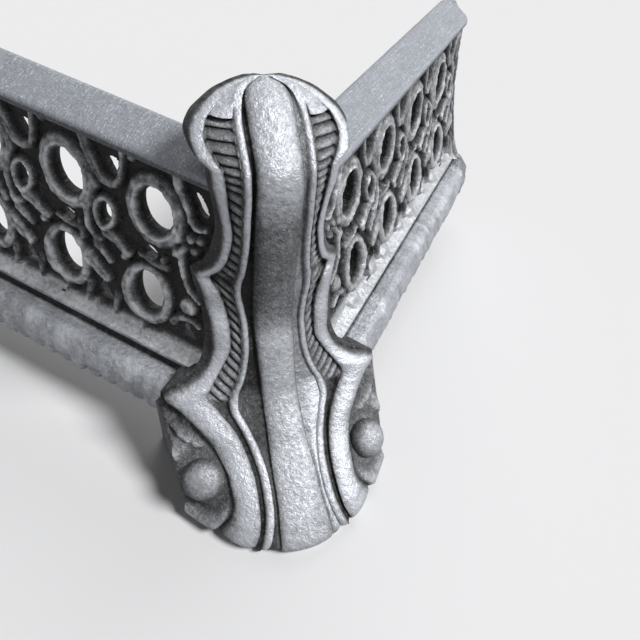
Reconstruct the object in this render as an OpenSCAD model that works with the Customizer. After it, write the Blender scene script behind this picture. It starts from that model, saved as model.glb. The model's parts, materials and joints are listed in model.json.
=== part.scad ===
// Cast-iron hearth fender: one pierced front and two pierced side returns,
// standing on a pair of scrolled corner posts and two plain rear feet.
// The front faces -Y, X runs along the front and Z is up from the floor.

/* [Pattern] */
// Distance from one big loop of the piercing to the next
pitch = 55; // [50:1:62]
// Number of big loops along the front
front_loops = 19; // [9:2:25]
// Number of big loops along each side return
side_loops = 4; // [3:1:6]
// Distance from a corner to the first big loop
first_loop = 98; // [94:1:104]
// Length of the plain stile behind the last loop of a side return
end_stile = 55; // [45:1:70]

/* [Castings] */
// Thickness of the pierced gallery plates
plate_t = 5; // [4:0.5:7]
// How far the loop rings stand proud of their plate
ring_rise = 3; // [1:0.5:4]
// Width of the raised ring round an opening
ring_w = 8; // [5:0.5:8.5]
// Radius of the rounded free end of a side rail
rail_end_r = 10; // [4:1:11]
// Diameter of the ball on each side of a corner foot
ball_d = 24; // [20:1:26]

/* [Fixings] */
// Thread diameter of the corner and base bolts
bolt_d = 5; // [4:0.5:6]
// Width across the flats of a bolt head or nut
hex_w = 9; // [8:0.5:11]
// Thread diameter of the screws that hold the rails
screw_d = 4; // [3:0.5:5]
// Largest diameter of a rear foot
rear_foot_d = 22; // [16:1:26]

/* [Hidden] */

iron = [0.72, 0.74, 0.77];
dark_iron = [0.42, 0.43, 0.46];
fixing_iron = [0.30, 0.30, 0.31];

// Outward reach of the corner feet beyond the ledge line, and the footprint
foot_reach = 54;
half_front = first_loop + pitch * (front_loops - 1) / 2;
side_len = first_loop + pitch * (side_loops - 1) + end_stile;
corner_y = (foot_reach - side_len) / 2;

// Each plate is two flat tiers, given by their lower and upper edges as
// [outward distance from the ledge line, height] of the front face
ledge_z = 58;
break_z = 106;
rail_z = 164;
lower_tier = [[-2, ledge_z], [-19.5, break_z]];
upper_tier = [[-19.5, break_z], [-32, rail_z]];

// How far from a corner the plates, rails and skirts stop, each behind or in a post
plate_end = 60;
rail_end = 66;
skirt_end = 62;

oval_sides = 16;
fit = 0.15;

function lean(tier) = atan2(tier[0][0] - tier[1][0], tier[1][1] - tier[0][1]);
function slope_len(tier) = norm(tier[1] - tier[0]);
function up_tier(tier, z) = (z - tier[0][1]) / cos(lean(tier));

// Back of the gallery at a height, measured outward
function back_at(tier, z) = tier[0][0]
    + (tier[1][0] - tier[0][0]) * (z - tier[0][1]) / (tier[1][1] - tier[0][1])
    - plate_t / cos(lean(tier));

function oval(c, r, tilt = 0) = [
    for (i = [0:oval_sides - 1])
        let (a = 360 * i / oval_sides, x = r[0] * cos(a), y = r[1] * sin(a))
        [c[0] + x * cos(tilt) - y * sin(tilt), c[1] + x * sin(tilt) + y * cos(tilt)]
];

// ---- Placing: along a wing is +X, outward from it is +Y ----

module on_front() {
    translate([0, corner_y, 0]) mirror([0, 1, 0]) children();
}

module on_right() {
    translate([half_front, corner_y, 0]) mirror([1, -1, 0]) children();
}

module on_left() {
    mirror([1, 0, 0]) on_right() children();
}

module flip_x(side) {
    mirror([side < 0 ? 1 : 0, 0, 0]) children();
}

// The corner end of the front wing at the right, with +X going away from the corner
module on_right_front() {
    translate([half_front, corner_y, 0]) rotate([0, 0, 180]) children();
}

// All four wing ends that meet a corner post
module at_corner_ends() {
    for (side = [-1, 1])
        flip_x(side) {
            on_right_front() children();
            on_right() children();
        }
}

module on_tier(tier) {
    translate([0, tier[0][0], tier[0][1]]) rotate([90 + lean(tier), 0, 0]) children();
}

// Extrudes a section of [outward, height] along the wing
module run(from, to) {
    translate([from, 0, 0]) rotate([90, 0, 90]) linear_extrude(to - from) children();
}

// ---- The pierced pattern of one loop at x = 0; side is the way to the middle of the wing ----

big_r = [9.5, 11.5];
big_z = 137;
big_tilt = -13;
small_r = [3.4, 6.4];
small_z = 123;
small_step = 0.565 * pitch;
small_tilt = 12;
loop_r = [8.3, 12];
loop_z = 90;
loop_tilt = -9;
loop_ring_z = loop_z - 2;

// A shape drawn for side = 1, turned over for the other side
module facing(side, points) {
    polygon([for (p = points) [p[0] * side, p[1]]]);
}

module upper_openings(side, between) {
    polygon(oval([0, up_tier(upper_tier, big_z)], big_r, big_tilt * side));
    polygon(oval([3 * side, up_tier(upper_tier, 112)], [4.8, 2.4], 20 * side));
    if (between) {
        polygon(oval([small_step * side, up_tier(upper_tier, small_z)], small_r, small_tilt * side));
        translate([pitch / 2 * side, up_tier(upper_tier, 150)])
            facing(side, [[-6, 0], [0, -6], [6, 3], [-1, 4.5]]);
    }
}

module upper_rings(side, between) {
    polygon(oval([0, up_tier(upper_tier, big_z)], big_r + [ring_w, ring_w], big_tilt * side));
    if (between)
        polygon(oval([small_step * side, up_tier(upper_tier, small_z)],
                     small_r + [ring_w / 2, ring_w / 2], small_tilt * side));
}

module between_loops(side) {
    translate([small_step * side, up_tier(lower_tier, 66)])
        facing(side, [[-7, 4], [7.5, 2], [1, 16]]);
}

module lower_openings(side, between) {
    polygon(oval([0, up_tier(lower_tier, loop_z)], loop_r, loop_tilt * side));
    if (between) between_loops(side);
}

module lower_rings(side) {
    polygon(oval([0, up_tier(lower_tier, loop_ring_z)],
                 loop_r + [ring_w, 0.68 * ring_w], loop_tilt * side));
}

// Its child as raised discs, sunk a little into the face of a tier
module raised(tier) {
    on_tier(tier) translate([0, 0, -ring_rise]) linear_extrude(ring_rise + 1) children();
}

// Cuts its child through a plate and the rings on it
module through(tier) {
    on_tier(tier) translate([0, 0, -ring_rise - 1]) linear_extrude(plate_t + ring_rise + 2) children();
}

// Narrow slit beside a post, at distance x from the middle of the wing
slit_from_corner = 76;
slit_r = [2.4, 6];
foot_opening_in = 72;

module post_side_opening(x, side) {
    polygon(oval([x, up_tier(upper_tier, 146)], slit_r, 12 * side));
}

// Small three-cornered opening low down beside a post
module post_foot_opening(x, side) {
    translate([x, up_tier(lower_tier, 70)]) facing(side, [[-5, 0], [6, 0], [-2, 11]]);
}

// ---- Galleries ----

tab_w = 16;
tab_d = 12;
tab_t = 3;
tab_inset = 6;
tab_pairs = floor((front_loops - 3) / 4);
front_tabs = [for (k = [-tab_pairs:tab_pairs]) 2 * k * pitch];
side_tabs = [first_loop + pitch / 2, first_loop + pitch * (side_loops - 1) + pitch / 2];

rail_tab_y = back_at(upper_tier, rail_z - tab_t) - tab_inset;
base_tab_y = back_at(lower_tier, ledge_z) - tab_inset;

module tab(x, y_mid, z, hole_d) {
    translate([x, y_mid, z]) difference() {
        translate([-tab_w / 2, -tab_d / 2, 0]) cube([tab_w, tab_d + 2, tab_t]);
        translate([0, 0, -1]) cylinder(h = tab_t + 2, d = hole_d, $fn = 32);
    }
}

module tabs(places) {
    for (x = places) {
        tab(x, rail_tab_y, rail_z - tab_t, screw_d + 2 * fit);
        tab(x, base_tab_y, ledge_z, bolt_d + 2 * fit);
    }
}

// Lugs behind the end of a plate, one in each tier, bolted to lugs of the post
lug_z = [84, 134];
lug_h = 18;
lug_t = 4;
post_lug_t = 6;
lug_d = 19;
lug_bolt_in = 12;

function lug_tier(z) = z < break_z ? lower_tier : upper_tier;
function lug_y(z) = back_at(lug_tier(z), z);

// One lug from x = from, thick along the wing, reaching forward by lap
module lug(from, thick, z, lap) {
    difference() {
        translate([from, lug_y(z) - lug_d, z - lug_h / 2]) cube([thick, lug_d + lap, lug_h]);
        lug_bore(z);
    }
}

module lug_bore(z) {
    translate([0, lug_y(z) - lug_bolt_in, z]) rotate([0, 90, 0])
        cylinder(h = 2 * plate_end, d = bolt_d + 2 * fit, $fn = 32);
}

module plate_lugs() {
    for (z = lug_z) lug(plate_end, lug_t, z, 2);
}

front_span = half_front - plate_end;

// Where the two tiers meet at the back of the plate
mid_lean = (lean(lower_tier) + lean(upper_tier)) / 2;
fold = (lean(lower_tier) - lean(upper_tier)) / 2;
break_back = lower_tier[1] - plate_t / cos(fold) * [cos(mid_lean), sin(mid_lean)];
plate_section = [lower_tier[0], lower_tier[1], upper_tier[1],
                 [back_at(upper_tier, rail_z), rail_z], break_back,
                 [back_at(lower_tier, ledge_z), ledge_z]];

// Repeats its children along the front, with $side pointing away from the middle
module front_units() {
    for (i = [0:front_loops - 1]) {
        k = i - (front_loops - 1) / 2;
        translate([k * pitch, 0]) {
            $side = -sign(k);
            children();
        }
    }
}

module side_units(last = side_loops - 1) {
    for (i = [0:last]) translate([first_loop + i * pitch, 0]) children();
}

module front_gallery() {
    color(dark_iron) on_front() difference() {
        union() {
            run(-front_span, front_span) polygon(plate_section);
            raised(upper_tier) front_units() upper_rings($side, $side != 0);
            raised(lower_tier) front_units() lower_rings($side);
            tabs(front_tabs);
            for (side = [-1, 1])
                flip_x(side) translate([half_front, 0, 0]) mirror([1, 0, 0]) plate_lugs();
        }
        through(upper_tier) {
            front_units() upper_openings($side, $side != 0);
            for (side = [-1, 1]) post_side_opening(side * (half_front - slit_from_corner), side);
        }
        through(lower_tier) {
            front_units() lower_openings($side, $side != 0);
            for (side = [-1, 1]) post_foot_opening(side * (half_front - foot_opening_in), side);
        }
    }
}

module side_gallery() {
    difference() {
        union() {
            run(plate_end, side_len) polygon(plate_section);
            raised(upper_tier) side_units() upper_rings(1, true);
            raised(lower_tier) side_units() lower_rings(1);
            tabs(side_tabs);
            plate_lugs();
        }
        through(upper_tier) {
            side_units() upper_openings(1, true);
            post_side_opening(slit_from_corner, -1);
        }
        through(lower_tier) {
            side_units() lower_openings(1, false);
            side_units(side_loops - 2) between_loops(1);
            post_foot_opening(foot_opening_in, -1);
        }
    }
}

module right_gallery() {
    color(dark_iron) on_right() side_gallery();
}

module left_gallery() {
    color(dark_iron) on_left() side_gallery();
}

// ---- Rails: a flat bar that slopes outward, with a hooked front lip ----

rail_section = [[-50, 164], [-32, 164], [-30, 165], [-28, 163.2], [-26, 162.8], [-25, 164],
                [-25, 167], [-26.5, 168.6], [-47, 174.6], [-49.3, 174.2], [-50, 172.5]];
rail_hole_top = 170;

module rail_holes(places) {
    for (x = places)
        translate([x, rail_tab_y, rail_z - 1])
            cylinder(h = rail_hole_top - rail_z + 1, d = screw_d + 2 * fit, $fn = 32);
}

module front_rail() {
    span = half_front - rail_end;
    color(iron) on_front() difference() {
        run(-span, span) polygon(rail_section);
        rail_holes(front_tabs);
    }
}

// Plan of a side rail, square at the post and rounded at the free end
module rail_plan() {
    back = rail_section[0][0];
    front = rail_section[5][0];
    translate([rail_end, back]) square([side_len - rail_end - rail_end_r, front - back]);
    translate([rail_end, back + rail_end_r])
        square([side_len - rail_end, front - back - 2 * rail_end_r]);
    for (y = [back + rail_end_r, front - rail_end_r])
        translate([side_len - rail_end_r, y]) circle(r = rail_end_r, $fn = 48);
}

module side_rail() {
    difference() {
        intersection() {
            run(rail_end, side_len) polygon(rail_section);
            translate([0, 0, rail_z - 10]) linear_extrude(30) rail_plan();
        }
        rail_holes(side_tabs);
    }
}

module right_rail() {
    color(iron) on_right() side_rail();
}

module left_rail() {
    color(iron) on_left() side_rail();
}

// ---- Skirts: ledge, cove and bulge in one moulding, rolled under below ----

skirt_section = [[-26, 58], [0.5, 58], [1.5, 57], [1.5, 55], [-1, 52.5], [0, 50], [4, 49.5],
                 [10, 49.3], [14.5, 46.5], [17.5, 41], [19, 34], [19, 27], [16.5, 23.5], [13, 23],
                 [11, 25], [13, 28], [13.5, 35], [12, 40], [8.5, 43.5], [3, 45], [-4, 46],
                 [-5, 49], [-6, 54], [-26, 54]];
// The last point of the bulge's face, under which the skirt rolls back
skirt_toe = [13, 23];
function skirt_face() = [for (i = [1:search([skirt_toe], skirt_section)[0]]) skirt_section[i]];

ledge_t = 4;
foot_y = -17;
foot_x = side_len - 24;

module ledge_holes(places, y) {
    for (x = places)
        translate([x, y, ledge_z - ledge_t - 1])
            cylinder(h = ledge_t + 2, d = bolt_d + 2 * fit, $fn = 32);
}

module front_skirt() {
    span = half_front - skirt_end;
    color(iron) on_front() difference() {
        run(-span, span) polygon(skirt_section);
        ledge_holes(front_tabs, base_tab_y);
    }
}

module side_skirt() {
    difference() {
        run(skirt_end, side_len) polygon(skirt_section);
        ledge_holes(side_tabs, base_tab_y);
        ledge_holes([foot_x], foot_y);
    }
}

module right_skirt() {
    color(iron) on_right() side_skirt();
}

module left_skirt() {
    color(iron) on_left() side_skirt();
}

// ---- Rear feet: turned pads under the free ends of the ledges ----

foot_bolt_depth = 14;

module rear_foot() {
    foot_h = ledge_z - ledge_t;
    r = rear_foot_d / 2;
    translate([foot_x, foot_y, 0]) difference() {
        rotate_extrude($fn = 64)
            polygon([[0, 0], [r - 1, 0], [r, 1], [r, 4], [r - 2, 7], [r - 4, 12], [r - 4.5, 30],
                     [r - 3, foot_h - 8], [r - 2, foot_h - 4], [r - 2, foot_h], [0, foot_h]]);
        translate([0, 0, foot_h - foot_bolt_depth])
            cylinder(h = foot_bolt_depth + 1, d = bolt_d + 2 * fit, $fn = 32);
    }
}

module right_rear_foot() {
    color(dark_iron) on_right() rear_foot();
}

module left_rear_foot() {
    color(dark_iron) on_left() rear_foot();
}

// ---- Corner posts: S-shaped consoles set across the corner ----

// Table of offsets of a post, from the floor up. Each row is a height, then the reach of
// the spine and its half width, then the half width and reach of the bead, of the inner
// and outer edge of the rim, and of the front edge of the cheek. Reaches are measured
// out from the corner along the diagonal.
post_rows = [
    //  z   spine         bead          rim inside    rim outside   cheek
    [0,   [54, 15],     [19, 46],     [25, 41],     [33, 35],     [60, 11]],
    [6,   [55, 15],     [19, 47],     [25, 42],     [33, 37],     [61, 12]],
    [14,  [44, 14],     [17, 38],     [24, 35],     [32, 31],     [62, 7]],
    [20,  [34, 12.5],   [15.5, 30],   [23.5, 28],   [31, 25],     [63, 1]],
    [27,  [22, 12],     [15, 19.5],   [23.5, 18],   [32, 14.5],   [63, -6]],
    [34,  [7, 11],      [18, 5],      [26, 3],      [38, -2],     [64, -15]],
    [41,  [-2, 10.5],   [22.5, -6],   [30, -7],     [45, -12],    [65, -24]],
    [48,  [-12, 10],    [27.5, -17],  [36, -18],    [55, -24],    [66, -33]],
    [54,  [-18, 9.5],   [26, -22.5],  [42, -26],    [63, -31],    [65, -35]],
    [60,  [-22, 9.5],   [22, -26],    [37, -30.5],  [47, -34],    [47, -41]],
    [67,  [-26.5, 9.5], [18.5, -30.5], [31, -35],   [37.5, -37.5], [40.5, -44]],
    [78,  [-33, 9],     [15.5, -36],  [25, -40.5],  [33, -43.5],  [37, -49]],
    [88,  [-38.5, 9],   [15, -41.5],  [24.5, -45],  [33, -46.5],  [36.5, -51.5]],
    [100, [-42, 9],     [17, -46],    [26, -50.5],  [34.5, -53.5], [37, -59]],
    [110, [-43, 9],     [18.5, -48],  [28.5, -52],  [36, -56.5],  [39, -64]],
    [117, [-43.5, 9.5], [18, -48.5],  [32, -57],    [38, -60],    [39.5, -66]],
    [124, [-44, 9.5],   [16.5, -48],  [27, -54],    [31, -56.5],  [33.5, -63]],
    [134, [-44.7, 9.5], [15, -48],    [23.5, -52.5], [26.5, -54.5], [29.5, -62]],
    [147, [-45.8, 9.5], [14, -48.5],  [21.5, -53],  [25, -55],    [27, -63]],
    [160, [-46.5, 9.5], [14, -49],    [23, -54.5],  [26.5, -57],  [28, -66]],
    [164.5, [-46.8, 9.5], [14, -49.4], [23.4, -54.7], [27.3, -57.2], [29, -64.5]],
    [167, [-47, 9.5],   [14, -49.6],  [23.6, -54.8], [27.8, -57.3], [29.5, -63]],
    [170, [-47.2, 9.5], [14, -50],    [24, -55],    [28.5, -57.5], [30, -63]],
    [178, [-49.5, 10],  [14.5, -52],  [25, -56.5],  [29, -58.5],  [30.5, -65]],
    [183, [-53.5, 10.5], [15, -56],   [28, -60.5],  [34, -62.5],  [35.5, -69]],
    [188, [-60, 11],    [15.5, -62.5], [31, -67.5], [36, -70],    [37.5, -76]],
    [193, [-67, 11.5],  [15.5, -69.5], [30, -73.5], [34, -75.5],  [35.5, -82]],
    [198, [-72, 11.5],  [15, -75],    [26.5, -78],  [29.5, -79.5], [31, -86]],
    [202, [-77, 11],    [14.5, -79.5], [20, -82],   [22.5, -83.5], [24, -89]],
    [205, [-83, 7],     [10, -85],    [14, -86.5],  [16.5, -87.5], [18, -92]],
];
shoulder_z = 58;
head_z = 166;
flare = 4;
wall_depth = 13;
wall_t = 4;
web_t = 5;
head_back = -97;
foot_wall = [68, -37];
foot_back = -46;
groove = 6;
recess = 3.2;

// Reach of the plate front at a height
function plate_y(z) = z < break_z
    ? lookup(z, [[ledge_z, lower_tier[0][0]], [break_z, lower_tier[1][0]]])
    : lookup(z, [[break_z, upper_tier[0][0]], [rail_z, upper_tier[1][0]]]);

// A point of the right half of a post, given along and out from the wing
function from_wing(s, a) = [(s + a) / sqrt(2), (a - s) / sqrt(2)];

// Corners of the back of a post at a row, from the edge of the side wall to the middle.
// Between ledge and rail they stand clear of the face and of the end of the plate
function back_points(z, rim, bead) =
    z < shoulder_z
        ? [foot_wall, [56, foot_back], [50, foot_back], [0, foot_back]]
        : z < head_z
            ? let (front = plate_y(z) + fit, end = plate_end - 2 * fit)
              [from_wing((rim[0] - rim[1]) / sqrt(2) + wall_depth, front),
               from_wing(end, front),
               from_wing(end, front - wall_t),
               [0, bead[1] - recess - web_t]]
            : [[rim[0] + flare, max(rim[1] - wall_depth, head_back + 1)],
               [rim[0] + 1, max(rim[1] - 2 * wall_depth, head_back + 0.8)],
               [rim[0] - 3, head_back + 0.5],
               [0, head_back]];

// Outline of the right half of a post at a row, from the spine round to the back
function half_outline(row) =
    let (z = row[0], spine = row[1][0], half = row[1][1], bead = row[2],
         rim_in = row[3], rim = row[4], cheek = row[5],
         slot = rim + [1, -recess],
         foot = z < shoulder_z)
    concat([
        [0, spine],
        [0.6 * half, spine - 0.7],
        [half, spine - 3],
        [half + 1, spine - groove],
        bead + [-1, -0.6],
        bead + [1.5, 0],
        bead + [2.4, -recess],
        rim_in + [-0.8, -recess],
        rim_in,
        rim + [-0.8, 0.8],
        rim,
        slot,
        (slot + cheek) / 2 + (foot ? [2, 4] : [0.2, 0]),
        cheek
    ], back_points(z, rim, bead));

// The whole outline, the left half mirrored, as points at the height of the row
function outline(row) =
    let (right = half_outline(row), n = len(right))
    concat([for (p = right) [p[0], p[1], row[0]]],
           [for (i = [n - 2:-1:1]) [-right[i][0], right[i][1], row[0]]]);

module post_skin() {
    rings = [for (row = post_rows) outline(row)];
    n = len(rings[0]);
    last = len(rings) - 1;
    polyhedron(
        points = [for (ring = rings) each ring],
        faces = concat(
            [[for (i = [n - 1:-1:0]) i]],
            [for (k = [0:last - 1], i = [0:n - 1])
                let (a = k * n + i, b = k * n + (i + 1) % n)
                each [[a, b, a + n], [b, b + n, a + n]]],
            [[for (i = [0:n - 1]) last * n + i]]
        ),
        convexity = 8
    );
}

ball_at = [50, 8, 24];

// Ball with a small flat at each end of its axis
module ball() {
    r = ball_d / 2;
    rotate_extrude($fn = 28)
        polygon([[0, -0.99 * r], for (a = [-82:16.4:82]) r * [cos(a), sin(a)], [0, 0.99 * r]]);
}

pocket = [[-44, -70], [-44, -30], [-28, 0], [28, 0], [44, -30], [44, -70]];
pocket_h = 24;

// A post in its own axes: across the corner in X, out along the diagonal in Y
module post_casting() {
    difference() {
        union() {
            post_skin();
            for (side = [-1, 1])
                translate([side * ball_at[0], ball_at[1], ball_at[2]]) ball();
        }
        translate([0, 0, -1]) linear_extrude(pocket_h + 1) polygon(pocket);
    }
}

// What a rail and a skirt take out of the post they run into
module wing_sockets() {
    far = plate_end + 60;
    run(rail_end, far) polygon(rail_section);
    run(skirt_end, far) polygon(concat(skirt_face(), [[skirt_toe[0], -1], [-far, -1], [-far, ledge_z]]));
}

module right_post() {
    difference() {
        union() {
            translate([half_front, corner_y, 0]) rotate([0, 0, 225]) post_casting();
            on_right_front() post_lugs();
            on_right() post_lugs();
        }
        on_right_front() wing_sockets();
        on_right() wing_sockets();
    }
}

module post_lugs() {
    for (z = lug_z) lug(plate_end - post_lug_t, post_lug_t, z, plate_t - 0.5);
}

module right_corner_post() {
    color(iron) right_post();
}

module left_corner_post() {
    color(iron) mirror([1, 0, 0]) right_post();
}

// ---- Fixings ----

head_h = 3.5;
nut_h = 4;
washer_t = 1;
hex_d = hex_w / cos(30);

// Runs its children along a corner bolt, from the face of the plate lug toward the corner
module on_corner_bolts() {
    at_corner_ends()
        for (z = lug_z)
            translate([plate_end + lug_t, lug_y(z) - lug_bolt_in, z]) rotate([0, -90, 0]) children();
}

module corner_bolts() {
    grip = washer_t + lug_t + post_lug_t;
    color(fixing_iron) on_corner_bolts() {
        translate([0, 0, -washer_t - head_h]) cylinder(h = head_h, d = hex_d, $fn = 6);
        translate([0, 0, -washer_t]) cylinder(h = grip + nut_h + 2, d = bolt_d, $fn = 32);
    }
}

module corner_washers() {
    color(fixing_iron) on_corner_bolts() difference() {
        translate([0, 0, -washer_t]) cylinder(h = washer_t, d = 2 * bolt_d + 1, $fn = 32);
        translate([0, 0, -washer_t - 1]) cylinder(h = washer_t + 2, d = bolt_d + 2 * fit, $fn = 32);
    }
}

module nut() {
    difference() {
        cylinder(h = nut_h, d = hex_d, $fn = 6);
        translate([0, 0, -1]) cylinder(h = nut_h + 2, d = bolt_d + 2 * fit, $fn = 32);
    }
}

module corner_nuts() {
    color(fixing_iron) on_corner_bolts() translate([0, 0, lug_t + post_lug_t]) nut();
}

// Places its children at every tab of the front and of both side returns
module on_tabs(y, z) {
    on_front() for (x = front_tabs) translate([x, y, z]) children();
    on_right() for (x = side_tabs) translate([x, y, z]) children();
    on_left() for (x = side_tabs) translate([x, y, z]) children();
}

module rail_screws() {
    under = rail_z - tab_t;
    color(fixing_iron) on_tabs(rail_tab_y, under) {
        translate([0, 0, -2.5]) cylinder(h = 2.5, d = 2 * screw_d, $fn = 32);
        translate([0, 0, -1]) cylinder(h = rail_hole_top - under, d = screw_d, $fn = 32);
    }
}

module base_bolts() {
    color(fixing_iron) on_tabs(base_tab_y, ledge_z + tab_t) {
        cylinder(h = head_h, d = hex_d, $fn = 6);
        translate([0, 0, -tab_t - ledge_t - nut_h - 1])
            cylinder(h = tab_t + ledge_t + nut_h + 2, d = bolt_d, $fn = 32);
    }
}

module base_nuts() {
    color(fixing_iron) on_tabs(base_tab_y, ledge_z - ledge_t - nut_h) nut();
}

module rear_foot_bolts() {
    shank = ledge_t + foot_bolt_depth - 2;
    color(fixing_iron) for (side = [-1, 1])
        flip_x(side) on_right() translate([foot_x, foot_y, ledge_z]) {
            cylinder(h = head_h, d = hex_d, $fn = 6);
            translate([0, 0, -shank]) cylinder(h = shank + 1, d = bolt_d, $fn = 32);
        }
}

front_gallery();
left_gallery();
right_gallery();
front_rail();
left_rail();
right_rail();
front_skirt();
left_skirt();
right_skirt();
left_corner_post();
right_corner_post();
left_rear_foot();
right_rear_foot();
corner_bolts();
corner_washers();
corner_nuts();
rail_screws();
base_bolts();
base_nuts();
rear_foot_bolts();
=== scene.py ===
"""Looks of a cast-iron hearth fender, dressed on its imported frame.

The front faces -Y, X runs along the front and Z is up from the floor. Sizes are in
millimetres until a mesh is written in metres, as the frame is.
"""

import json
import logging
import math
from collections.abc import Iterator
from contextlib import contextmanager
from dataclasses import dataclass
from enum import Enum
from typing import NamedTuple

import bpy
import numpy as np
from mathutils import Matrix, Vector

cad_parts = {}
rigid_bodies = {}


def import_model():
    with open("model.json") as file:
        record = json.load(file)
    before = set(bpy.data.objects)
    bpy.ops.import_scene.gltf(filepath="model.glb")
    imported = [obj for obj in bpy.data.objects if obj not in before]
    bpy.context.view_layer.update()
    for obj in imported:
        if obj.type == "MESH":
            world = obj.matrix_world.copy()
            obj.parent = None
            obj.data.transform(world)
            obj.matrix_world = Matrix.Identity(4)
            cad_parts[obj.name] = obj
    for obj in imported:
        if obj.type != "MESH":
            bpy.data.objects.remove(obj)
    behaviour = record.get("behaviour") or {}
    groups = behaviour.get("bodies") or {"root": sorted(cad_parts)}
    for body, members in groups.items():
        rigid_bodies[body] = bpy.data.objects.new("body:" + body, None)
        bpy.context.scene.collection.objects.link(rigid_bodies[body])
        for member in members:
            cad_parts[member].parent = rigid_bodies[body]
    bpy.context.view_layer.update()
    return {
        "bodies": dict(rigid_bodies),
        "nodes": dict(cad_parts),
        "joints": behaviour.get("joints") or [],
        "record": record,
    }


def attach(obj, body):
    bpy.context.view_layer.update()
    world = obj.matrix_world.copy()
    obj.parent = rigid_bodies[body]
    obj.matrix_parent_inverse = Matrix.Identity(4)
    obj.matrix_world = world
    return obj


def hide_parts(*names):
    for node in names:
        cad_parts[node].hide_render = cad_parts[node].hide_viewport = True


Array = np.ndarray
Piece = bpy.types.Object
Socket = bpy.types.NodeSocket
Colour = tuple[float, float, float, float]
Points = tuple[tuple[float, ...], ...]
Sockets = tuple[tuple[str, str], ...]

LOG = logging.getLogger("fender")
MM = 0.001

# The fender's own plan, as in the part's source
PITCH = 55.0
FRONT_LOOPS, SIDE_LOOPS = 19, 4
FIRST_LOOP, END_STILE, FOOT_REACH = 98.0, 55.0, 54.0
HALF_FRONT = FIRST_LOOP + PITCH * (FRONT_LOOPS - 1) / 2
SIDE_LEN = FIRST_LOOP + PITCH * (SIDE_LOOPS - 1) + END_STILE
CORNER_Y = (FOOT_REACH - SIDE_LEN) / 2
LEDGE_Z, BREAK_Z, RAIL_Z = 58.0, 106.0, 164.0
PLATE_T = 5.0
# How far from a corner the plates, rails and skirts stop, and how far a skirt runs on into its post
PLATE_END, RAIL_END, SKIRT_END, SKIRT_LAP = 60.0, 66.0, 62.0, 5.0
# Middle height, half height and depth of the cast lugs, and the bevel of every lug and tab
LUG_HEIGHTS, LUG_HALF, LUG_DEEP = (84.0, 134.0), 9.0, 18.8
BEVEL = 0.8
ROUND_STEPS = 4


class Wing(Enum):
    """Which of the three walls of the fender a piece belongs to."""

    FRONT = "front"
    LEFT = "left"
    RIGHT = "right"


# ---- Small numeric tools ----


def lerp(a: Array, b: Array, x: Array) -> Array:
    """Mixes a and b by x."""
    return a + (b - a) * x


def ease(low: float, high: float, x: Array) -> Array:
    """Rises smoothly from 0 at low to 1 at high."""
    t = np.clip((x - low) / (high - low), 0.0, 1.0)
    return t * t * (3 - 2 * t)


def round_bar(x: Array) -> Array:
    """Half-round hump over -1 to 1, nought outside."""
    return np.sqrt(np.clip(1 - x * x, 0.0, 1.0))


def lumps(x: Array, y: Array, size: float, seed: int) -> Array:
    """Even, repeatable unevenness between -1 and 1.

    Args:
        x: First coordinate of each point.
        y: Second coordinate of each point.
        size: Distance between neighbouring lumps.
        seed: Chooses the pattern.

    Returns:
        One value a point.
    """
    table = np.random.default_rng(seed).uniform(-1, 1, (257, 257))
    u, v = x / size + 1000.3, y / size + 1000.7
    i, j = np.floor(u).astype(int), np.floor(v).astype(int)
    fu, fv = u - i, v - j
    fu, fv = fu * fu * (3 - 2 * fu), fv * fv * (3 - 2 * fv)
    i, j = i % 256, j % 256
    low = lerp(table[i, j], table[i + 1, j], fu)
    high = lerp(table[i, j + 1], table[i + 1, j + 1], fu)
    return lerp(low, high, fv)


def fair(x: Array, y: Array, at: Array) -> Array:
    """Fair curve through a table of offsets, with no overshoot between its rows.

    Args:
        x: Rising positions of the rows.
        y: Values of the rows, one column each.
        at: Where the curve is wanted.

    Returns:
        Values at each place, one column each.
    """
    h = np.diff(x)[:, None]
    slope = np.diff(y, axis=0) / h
    m = np.zeros_like(y)
    same = slope[:-1] * slope[1:] > 0
    w1, w2 = 2 * h[1:] + h[:-1], h[1:] + 2 * h[:-1]
    with np.errstate(divide="ignore", invalid="ignore"):
        mean = (w1 + w2) / (w1 / slope[:-1] + w2 / slope[1:])
    m[1:-1] = np.where(same, mean, 0.0)
    m[0], m[-1] = slope[0], slope[-1]
    k = np.clip(np.searchsorted(x, at) - 1, 0, len(x) - 2)
    t = ((at - x[k]) / (x[k + 1] - x[k]))[:, None]
    step = h[k]
    return ((2 * t**3 - 3 * t**2 + 1) * y[k] + (t**3 - 2 * t**2 + t) * step * m[k]
            + (3 * t**2 - 2 * t**3) * y[k + 1] + (t**3 - t**2) * step * m[k + 1])


def blend(heights: list[Array]) -> Array:
    """Highest of several reliefs, with the valleys between them filled a little."""
    return sum(h**3.2 for h in heights) ** (1 / 3.2)


def to_line(x: Array, y: Array, line: Points) -> tuple[Array, Array]:
    """Measures points against a line of straight runs.

    Args:
        x: First coordinate of each point.
        y: Second coordinate of each point.
        line: Corners of the line.

    Returns:
        Distance from the line, and how far along it the nearest place is, from 0 to 1.
    """
    best, share = np.full(x.shape, 1e9), np.zeros(x.shape)
    for k, ((ax, ay), (bx, by)) in enumerate(zip(line[:-1], line[1:])):
        dx, dy = bx - ax, by - ay
        t = np.clip(((x - ax) * dx + (y - ay) * dy) / (dx * dx + dy * dy), 0, 1)
        far = np.hypot(x - ax - t * dx, y - ay - t * dy)
        share = np.where(far < best, (k + t) / (len(line) - 1), share)
        best = np.minimum(best, far)
    return best, share


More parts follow.
